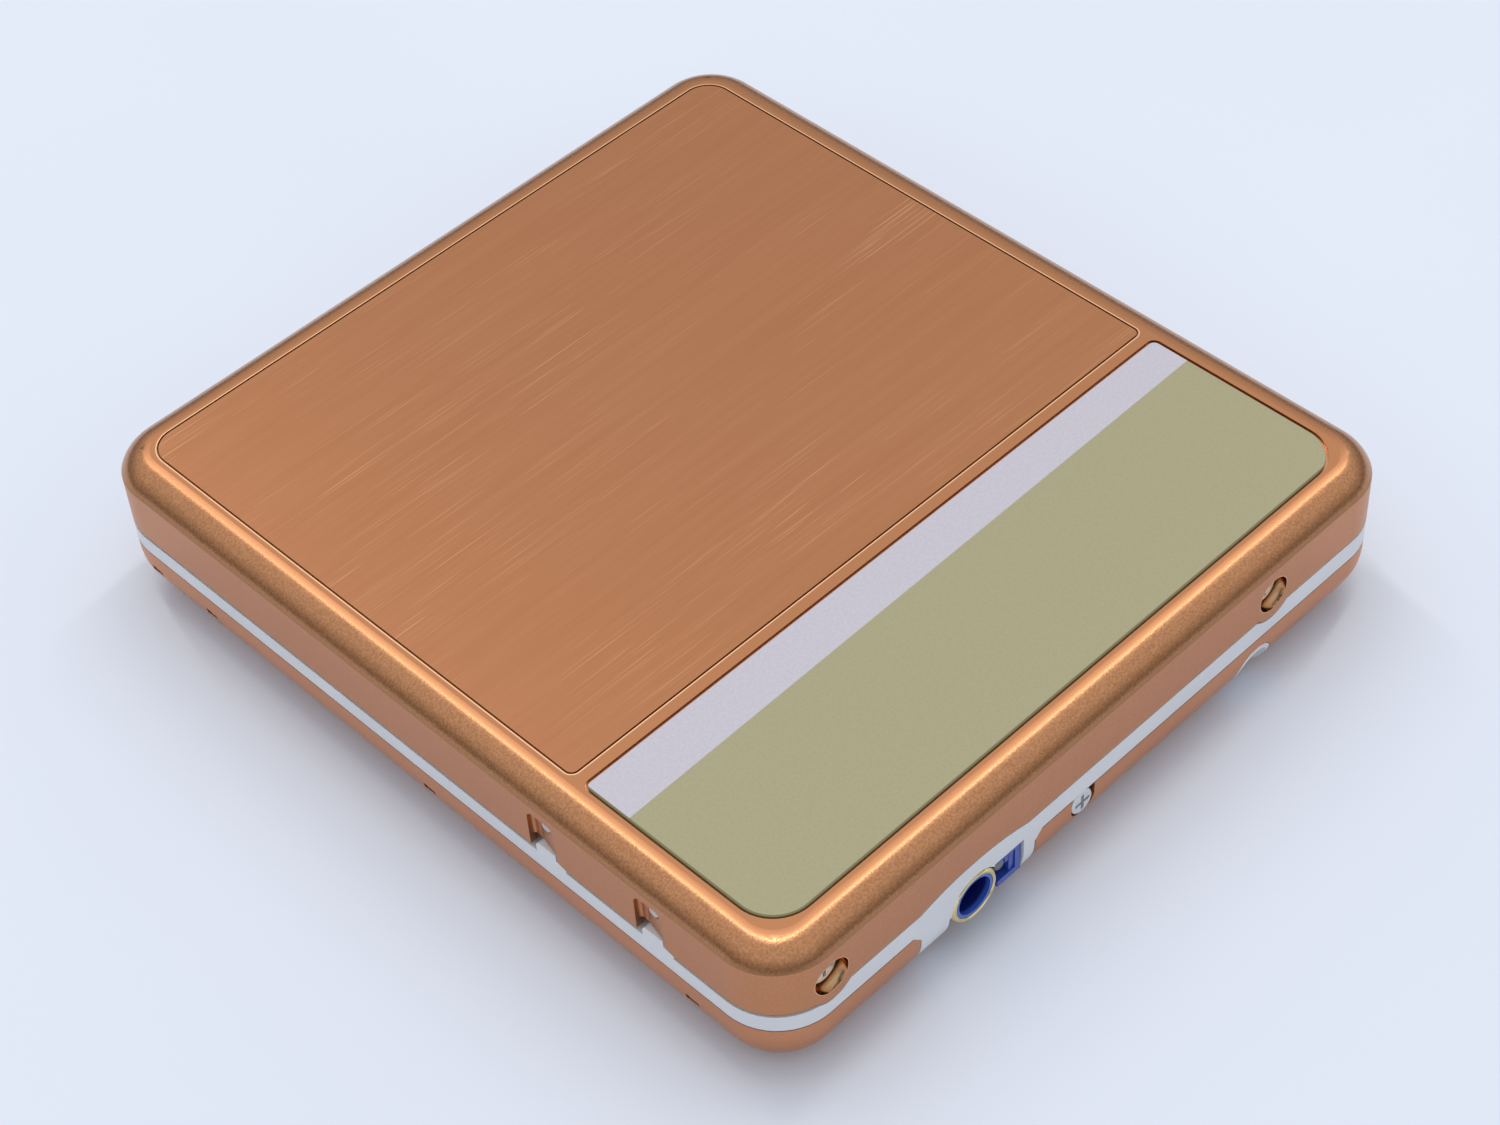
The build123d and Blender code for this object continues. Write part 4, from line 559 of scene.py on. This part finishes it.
def joinPieces(pieces):
    bpy.ops.object.select_all(action="DESELECT")
    for piece in pieces:
        piece.select_set(True)
    bpy.context.view_layer.objects.active = pieces[0]
    if len(pieces) > 1:
        bpy.ops.object.join()
    return bpy.context.object


def copyTo(piece, places):
    # copies of a piece at (x, y, turn), each with its own mesh, joined into one
    height = piece.location.z
    copies = []
    for x, y, turn in places:
        copy = piece.copy()
        copy.data = piece.data.copy()
        bpy.context.scene.collection.objects.link(copy)
        copy.location = (mm(x), mm(y), height)
        copy.rotation_euler = (0, 0, math.radians(turn))
        copies.append(copy)
    bpy.data.objects.remove(piece)
    return joinPieces(copies)


# Collar of the headphone socket: turned brass, gold plated, with a rolled mouth and a fine lip
# round its bore. It stands for the CAD ring and stays inside it.
collar = {
    "place": (15.5, 41.15, 5.0), "sides": 96,
    "section": [(2.11, -1.30), (2.60, -1.30), (2.60, -0.42), (2.56, -0.26), (2.47, -0.13),
                (2.36, -0.05), (2.27, -0.06), (2.23, -0.13), (2.20, -0.13), (2.17, -0.07),
                (2.13, -0.07), (2.11, -0.10)],
}
ring = turnRing((0, 0, 0), collar["section"], collar["sides"])
ring.location = [mm(v) for v in collar["place"]]
ring.rotation_euler = (math.radians(-90), 0, 0)
finishPiece(ring, "socketCollar", "base", "goldPlate", smoothAngle=25)
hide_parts("jack_ring")

# Contact blades that lie in the slot of the remote contact.
blades = {"first": (11.62, 38.35, 4.03), "pitch": 0.6, "count": 2, "size": (0.3, 2.7, 0.14), "bevel": 0.05}
for number in range(blades["count"]):
    x, y, z = blades["first"]
    blade = addBlock((x + number * blades["pitch"], y, z), blades["size"], blades["bevel"])
    finishPiece(blade, "remoteBlade" + str(number + 1), "base", "goldPlate")

# Inner shroud of the remote contact: a step along the far side of the slot, with a nose beside
# the pin. It is one solid, pulled out of its own side face.
shroud = {"middle": (10.98, 39.1, 5.075), "size": (0.64, 3.4, 2.23), "noseLow": 5.35, "noseReach": 0.42,
          "bevel": 0.04}
step = addBlock(shroud["middle"], shroud["size"], shroud["bevel"])
bpy.ops.object.transform_apply(location=True)
bpy.ops.object.mode_set(mode="EDIT")
bpy.ops.mesh.select_all(action="SELECT")
bpy.ops.mesh.bisect(plane_co=(0, 0, mm(shroud["noseLow"])), plane_no=(0, 0, 1))
selectFaces(step, lambda middle, normal: normal.x > 0.99 and middle.z > shroud["noseLow"])
bpy.ops.mesh.extrude_region_move(TRANSFORM_OT_translate={"value": (mm(shroud["noseReach"]), 0, 0)})
bpy.ops.object.mode_set(mode="OBJECT")
finishPiece(step, "remoteShroud", "base", "blueAbs")


def printedMark(name, body, shapes, middle, depth=0.03):
    # Raised ink mark on the key side. A shape is (sides, radius, shift, turn, stretch along X,
    # stretch along Z).
    parts = []
    for sides, radius, shift, turn, stretchX, stretchZ in shapes:
        bpy.ops.object.select_all(action="DESELECT")
        bpy.ops.mesh.primitive_circle_add(vertices=sides, radius=mm(radius), fill_type="NGON")
        part = bpy.context.object
        bpy.ops.object.mode_set(mode="EDIT")
        bpy.ops.mesh.select_all(action="SELECT")
        # without a window the operator turns the other way, so the turn is negative
        bpy.ops.transform.rotate(value=-math.radians(turn), orient_axis="Z", center_override=(0, 0, 0))
        bpy.ops.transform.resize(value=(stretchX, stretchZ, 1), center_override=(0, 0, 0))
        bpy.ops.mesh.extrude_region_move(TRANSFORM_OT_translate={"value": (0, 0, mm(depth))})
        bpy.ops.mesh.select_all(action="SELECT")
        bpy.ops.mesh.normals_make_consistent(inside=False)
        bpy.ops.object.mode_set(mode="OBJECT")
        part.location = (mm(middle[0] + shift), mm(middle[1]), mm(middle[2]))
        part.rotation_euler = (math.radians(90), 0, 0)
        parts.append(part)
    finishPiece(joinPieces(parts), name, body, "markInk")


# Plain symbols on the six keys, and a pointer beside each of the two sliders.
# A shape of 4 sides turned 45 degrees is a square or, stretched, a bar; 3 sides make a triangle.
keyRow = {"first": -23.5, "pitch": 6.2, "z": 5.55, "face": -41.095}
keySymbols = [
    ("key_stop", [(4, 0.55, 0, 45, 1, 1)]),
    ("key_play", [(3, 0.55, -0.45, -90, 1, 1), (4, 0.5, 0.55, 45, 0.25, 1.2),
                  (4, 0.5, 0.95, 45, 0.25, 1.2)]),
    ("key_skip_back", [(4, 0.5, -0.95, 45, 0.22, 1.2), (3, 0.5, -0.4, 90, 1, 1),
                       (3, 0.5, 0.4, 90, 1, 1)]),
    ("key_skip_forward", [(3, 0.5, -0.4, -90, 1, 1), (3, 0.5, 0.4, -90, 1, 1),
                          (4, 0.5, 0.95, 45, 0.22, 1.2)]),
    ("key_volume_down", [(4, 0.6, 0, 45, 1.1, 0.22)]),
    ("key_volume_up", [(4, 0.6, 0, 45, 1.1, 0.22), (4, 0.6, 0, 45, 0.22, 1.1)]),
]
for number, (key, shapes) in enumerate(keySymbols):
    where = (keyRow["first"] + number * keyRow["pitch"], keyRow["face"], keyRow["z"])
    printedMark("symbol_" + key, key, shapes, where)
pointers = {"face": -40.645, "z": 5.55, "shape": (3, 0.5, 0), "stretch": (1.2, 0.9),
            "places": [("openPointer", 20.4, 90), ("holdPointer", 12.3, -90)]}
for name, x, turn in pointers["places"]:
    printedMark(name, "base", [(*pointers["shape"], turn, *pointers["stretch"])],
                (x, pointers["face"], pointers["z"]))
print("stage: socket collar, blades and key symbols made")

# Optical sled: retaining ring of the objective lens, and the slotted heads of its four screws.
sled = {
    "lens": (1.2, 15.2, 0), "screws": [(-1.2, 10.75), (3.6, 10.75), (-1.2, 19.65), (3.6, 19.65)],
    "screwRadius": 0.6, "screwHeight": 0.24, "screwBase": 7.18, "screwBevel": 0.08, "screwTurn": 25,
    "slot": (2.0, 0.16, 0.2), "slotBevel": 0.01,
    "bezel": [(2.08, 8.06), (2.92, 8.06), (2.92, 8.28), (2.80, 8.40), (2.62, 8.42), (2.50, 8.32),
              (2.30, 8.32), (2.18, 8.42), (2.08, 8.34)],
}
finishPiece(turnRing(sled["lens"], sled["bezel"]), "lensBezel", "pickup", "blackCasting")
bpy.ops.object.select_all(action="DESELECT")
bpy.ops.mesh.primitive_circle_add(vertices=32, radius=mm(sled["screwRadius"]), fill_type="NGON",
                                  location=(0, 0, mm(sled["screwBase"])))
head = bpy.context.object
bpy.ops.object.mode_set(mode="EDIT")
bpy.ops.mesh.select_all(action="SELECT")
bpy.ops.mesh.extrude_region_move(TRANSFORM_OT_translate={"value": (0, 0, mm(sled["screwHeight"]))})
bpy.ops.mesh.bevel(offset=mm(sled["screwBevel"]), segments=3, affect="EDGES")
bpy.ops.mesh.select_all(action="SELECT")
bpy.ops.mesh.normals_make_consistent(inside=False)
bpy.ops.object.mode_set(mode="OBJECT")
slotCutter = addBlock((0, 0, sled["screwBase"] + sled["screwHeight"]), sled["slot"], sled["slotBevel"], 1)
cut = head.modifiers.new("slot", "BOOLEAN")
cut.object = slotCutter
cut.operation = "DIFFERENCE"
bpy.ops.object.select_all(action="DESELECT")
head.select_set(True)
bpy.context.view_layer.objects.active = head
bpy.ops.object.modifier_apply(modifier="slot")
bpy.data.objects.remove(slotCutter)
headPlaces = [(x, y, sled["screwTurn"] * number) for number, (x, y) in enumerate(sled["screws"])]
finishPiece(copyTo(head, headPlaces), "sledScrewHeads", "pickup", "goldPlate")

# Turntable: rubber friction ring, chucking plate, and three balls that grip the hub of the disc.
table = {
    "middle": (1.2, 0.0, 0.0), "ballRadius": 0.3, "ballCircle": 3.15, "ballHeight": 8.93, "ballCount": 3,
    "ballSquash": 0.8, "firstBall": 90,
    "rubber": [(4.35, 8.58), (5.12, 8.58), (5.12, 8.68), (5.02, 8.74), (4.85, 8.74), (4.75, 8.68),
               (4.65, 8.74), (4.45, 8.74), (4.35, 8.68)],
    "plate": [(2.38, 8.88), (3.78, 8.88), (3.78, 8.94), (3.70, 8.98), (2.46, 8.98), (2.38, 8.94)],
}
finishPiece(turnRing(table["middle"], table["rubber"]), "turntableRubber", "turntable", "blackRubber")
finishPiece(turnRing(table["middle"], table["plate"]), "chuckPlate", "turntable", "nickelPlate")
ballPlaces = []
for number in range(table["ballCount"]):
    angle = math.radians(table["firstBall"] + 360 // table["ballCount"] * number)
    ballPlaces.append((table["middle"][0] + table["ballCircle"] * math.cos(angle),
                       table["middle"][1] + table["ballCircle"] * math.sin(angle), 0))
ball = addDome(table["ballRadius"], table["ballHeight"], table["ballSquash"], 20)
finishPiece(copyTo(ball, ballPlaces), "chuckBalls", "turntable", "nickelPlate", smoothAngle=60)

# Pressed beads that stiffen the deck and the roof of the disc holder: (x, y, length, width, turn)
beadRows = [
    {"name": "deckBeads", "body": "base", "surface": 8.0, "rise": 0.11,
     "bars": [(-3.0, -22.5, 42, 1.8, 0), (-3.0, -28.0, 42, 1.8, 0), (-18.0, 27.5, 20, 1.6, 0),
              (19.0, 27.5, 18, 1.6, 0), (-30.1, 0.0, 44, 1.5, 90), (32.0, -4.0, 36, 1.3, 90)]},
    {"name": "holderBeads", "body": "holder", "surface": 14.0, "rise": 0.16,
     "bars": [(1.0, 23.5, 50, 1.3, 0), (1.0, -23.5, 50, 1.3, 0), (-24.5, 0.0, 36, 2.0, 90),
              (25.5, 0.0, 36, 2.0, 90)]},
]
beadRounding = 0.95    # share of the rise
for row in beadRows:
    bars = []
    for x, y, length, width, turn in row["bars"]:
        rise = row["rise"]
        bar = addBlock((x, y, row["surface"]), (length, width, 2 * rise), rise * beadRounding, 3)
        bar.rotation_euler = (0, 0, math.radians(turn))
        bars.append(bar)
    finishPiece(joinPieces(bars), row["name"], row["body"], "zincPlate", smoothAngle=50)

# Domed rivets that hold the folded tabs of the deck.
rivets = {"radius": 0.9, "height": 7.98, "squash": 0.15,
          "places": [(-9.5, 8.4, 0), (-9.5, 36.4, 0), (9.4, 8.4, 0), (9.4, 36.4, 0)]}
rivet = addDome(rivets["radius"], rivets["height"], rivets["squash"], 24)
finishPiece(copyTo(rivet, rivets["places"]), "deckRivets", "base", "nickelPlate", smoothAngle=60)
print("stage: sled, turntable and deck details made")

# Small parts of the circuit board, seen through the windows of the deck.
boardTop = 2.25
# a row is (x, y, step along X, step along Y, count, turn)
capacitors = {
    "size": (1.0, 0.5, 0.42), "bevel": 0.05, "capStart": 0.3,
    "rows": [(-25.6, -10.8, 1.4, 0, 7, 90), (-25.6, 3.7, 1.4, 0, 7, 90), (-18.6, 7.8, 0, 1.3, 8, 0),
             (-26.0, 19.4, 1.5, 0, 6, 90), (14.1, -9.4, 0, 1.2, 7, 0), (16.0, -9.4, 0, 1.2, 7, 0),
             (13.4, 3.7, 1.5, 0, 10, 90), (28.2, 6.8, 0, 1.2, 6, 0), (24.6, 16.0, 1.4, 0, 3, 90),
             (13.6, 20.6, 1.4, 0, 9, 90)],
}
capacitor = addBlock((0, 0, boardTop + capacitors["size"][2] / 2), capacitors["size"], capacitors["bevel"], 1)
capacitor.data.materials.append(finishes["capacitorBody"])
capacitor.data.materials.append(finishes["zincScrew"])
bpy.ops.object.mode_set(mode="EDIT")
for cutX in (-capacitors["capStart"], capacitors["capStart"]):
    bpy.ops.mesh.select_all(action="SELECT")
    bpy.ops.mesh.bisect(plane_co=(mm(cutX), 0, mm(boardTop)), plane_no=(1, 0, 0))
selectFaces(capacitor, lambda middle, normal: abs(middle.x) > capacitors["capStart"])
capacitor.active_material_index = 1
bpy.ops.object.material_slot_assign()
bpy.ops.object.mode_set(mode="OBJECT")
capPlaces = []
for x, y, stepX, stepY, count, turn in capacitors["rows"]:
    capPlaces += [(x + stepX * number, y + stepY * number, turn) for number in range(count)]
finishPiece(copyTo(capacitor, capPlaces), "boardCapacitors", "base", "capacitorBody", smoothAngle=30)

# Gull-wing leads round the larger packages, whose places are (x, y, width, length).
leads = {"pitch": 0.65, "size": (0.55, 0.24, 0.1), "bevel": 0.02, "offset": 0.38, "cornerRoom": 1.2,
         "bends": [(-0.12, 0.38), (-0.2, 0.06)],
         "packages": [(-22.0, -4.0, 9, 9), (-24.0, 12.0, 7, 10), (23.0, -6.0, 10, 10)]}
lead = addBlock((0, 0, boardTop + leads["size"][2] / 2), leads["size"], leads["bevel"], 1)
bpy.ops.object.mode_set(mode="EDIT")
selectFaces(lead, lambda middle, normal: normal.x < -0.9)
for inwards, upwards in leads["bends"]:
    bpy.ops.mesh.extrude_region_move(TRANSFORM_OT_translate={"value": (mm(inwards), 0, mm(upwards))})
bpy.ops.object.mode_set(mode="OBJECT")
leadPlaces = []
for middleX, middleY, width, length in leads["packages"]:
    for side, half, other in ((0, width / 2, length), (90, length / 2, width), (180, width / 2, length),
                              (270, length / 2, width)):
        count = int((other - leads["cornerRoom"]) / leads["pitch"])
        angle = math.radians(side)
        out = half + leads["offset"]
        for number in range(count):
            shift = (number - (count - 1) / 2) * leads["pitch"]
            leadPlaces.append((middleX + out * math.cos(angle) - shift * math.sin(angle),
                               middleY + out * math.sin(angle) + shift * math.cos(angle), side))
finishPiece(copyTo(lead, leadPlaces), "packageLeads", "base", "zincScrew", smoothAngle=30)

# A crystal in its can, and three wound chokes.
crystal = {"place": (16.2, 7.4), "size": (3.2, 1.5, 1.1), "bevel": 0.3}
can = addBlock((*crystal["place"], boardTop + crystal["size"][2] / 2), crystal["size"], crystal["bevel"], 4)
finishPiece(can, "crystalCan", "base", "drawnCan", smoothAngle=40)
chokes = {
    "places": [(14.2, 12.6, 0), (17.8, 14.4, 0), (14.4, 16.6, 0)], "sides": 40,
    "section": [(0.55, -0.02), (1.5, -0.02), (1.5, 0.25), (1.25, 0.35), (1.25, 0.95), (1.5, 1.05),
                (1.5, 1.3), (1.4, 1.4), (0.7, 1.4), (0.55, 1.3)],
}
choke = turnRing((0, 0, boardTop), chokes["section"], chokes["sides"])
finishPiece(copyTo(choke, chokes["places"]), "choke", "base", "blackEpoxy")
print("stage: circuit board parts made")

# The floor lies a hair under the part, so that the two don't share a plane.
floorLook = {"size": 8.0, "drop": 0.05, "color": "#DFE7F5", "shade": "#DAE2F0", "cloudScale": 16}
bpy.ops.object.select_all(action="DESELECT")
bpy.ops.mesh.primitive_plane_add(size=floorLook["size"], location=(0, 0, -mm(floorLook["drop"])))
floor = bpy.context.object
floor.name = "floor"
floorMaterial, floorTree = startMaterial("matteBackdropPaper")
floorPoint = addNode(floorTree, "TexCoord").outputs["Object"]
cloud = addNode(floorTree, "TexNoise", {"Vector": floorPoint, "Scale": floorLook["cloudScale"],
                                        "Detail": 2.0})
floorColor = addNode(floorTree, "Mix", {"Factor": cloud, 6: hexToLinear(floorLook["shade"]),
                                        7: hexToLinear(floorLook["color"])}, data_type="RGBA")
endMaterial(floorTree, {"Base Color": floorColor, "Roughness": 0.7, "Specular IOR Level": 0.2})
floor.data.materials.append(floorMaterial)

# A studio whose light comes from above and falls off towards the horizon.
skyLook = {"high": "#FBFCFF", "low": "#807C76", "lowEnd": 0.02, "highStart": 0.62, "strength": 0.885}
world = bpy.data.worlds.new("studio")
bpy.context.scene.world = world
world.use_nodes = True
world.node_tree.nodes.clear()
direction = addNode(world.node_tree, "TexCoord").outputs["Generated"]
height = addNode(world.node_tree, "SeparateXYZ", {0: direction}).outputs[2]
rise = addNode(world.node_tree, "MapRange", {"Value": height, "From Min": skyLook["lowEnd"],
                                             "From Max": skyLook["highStart"]})
sky = addNode(world.node_tree, "Mix", {"Factor": rise, 6: hexToLinear(skyLook["low"]),
                                       7: hexToLinear(skyLook["high"])}, data_type="RGBA")
light = addNode(world.node_tree, "Background", {"Color": sky, "Strength": skyLook["strength"]})
addNode(world.node_tree, "OutputWorld", {"Surface": light})

# Two long strip lamps that meet over the front corner, in metres: each goes from start to end.
lampLook = {"height": 0.98, "width": 0.045, "power": 2.0, "color": "#FFFBF4", "aim": (0, 0, 0.01)}
lamps = [
    {"name": "frontStrip", "start": (0.10, 0.05), "end": (-0.15, -0.90)},
    {"name": "sideStrip", "start": (0.10, 0.05), "end": (-0.85, -0.13)},
]
for lamp in lamps:
    start = Vector((*lamp["start"], lampLook["height"]))
    end = Vector((*lamp["end"], lampLook["height"]))
    middle = (start + end) / 2
    back = (middle - Vector(lampLook["aim"])).normalized()
    side = back.cross(end - start).normalized()
    length = side.cross(back)
    data = bpy.data.lights.new(lamp["name"], "AREA")
    data.shape = "RECTANGLE"
    data.size = (end - start).length
    data.size_y = lampLook["width"]
    data.energy = lampLook["power"]
    data.color = hexToLinear(lampLook["color"])[:3]
    strip = bpy.data.objects.new(lamp["name"], data)
    bpy.context.scene.collection.objects.link(strip)
    strip.location = middle
    strip.rotation_euler = Matrix((length, side, back)).transposed().to_euler()

# Place in metres, turn in degrees, lens and sensor in millimetres.
view = {"place": (0.12543, 0.13899, 0.19912), "turn": (43.3536, 2.7502, 134.8918), "lens": 74.508,
        "sensor": 36.0, "clipStart": 0.01}
camera = bpy.data.objects.new("camera", bpy.data.cameras.new("camera"))
bpy.context.scene.collection.objects.link(camera)
camera.location = view["place"]
camera.rotation_euler = [math.radians(a) for a in view["turn"]]
camera.data.lens = view["lens"]
camera.data.sensor_width = view["sensor"]
camera.data.sensor_fit = "HORIZONTAL"
camera.data.clip_start = view["clipStart"]
bpy.context.scene.camera = camera
bpy.context.scene.view_settings.view_transform = "Standard"
print("stage: floor, lamps and camera placed")
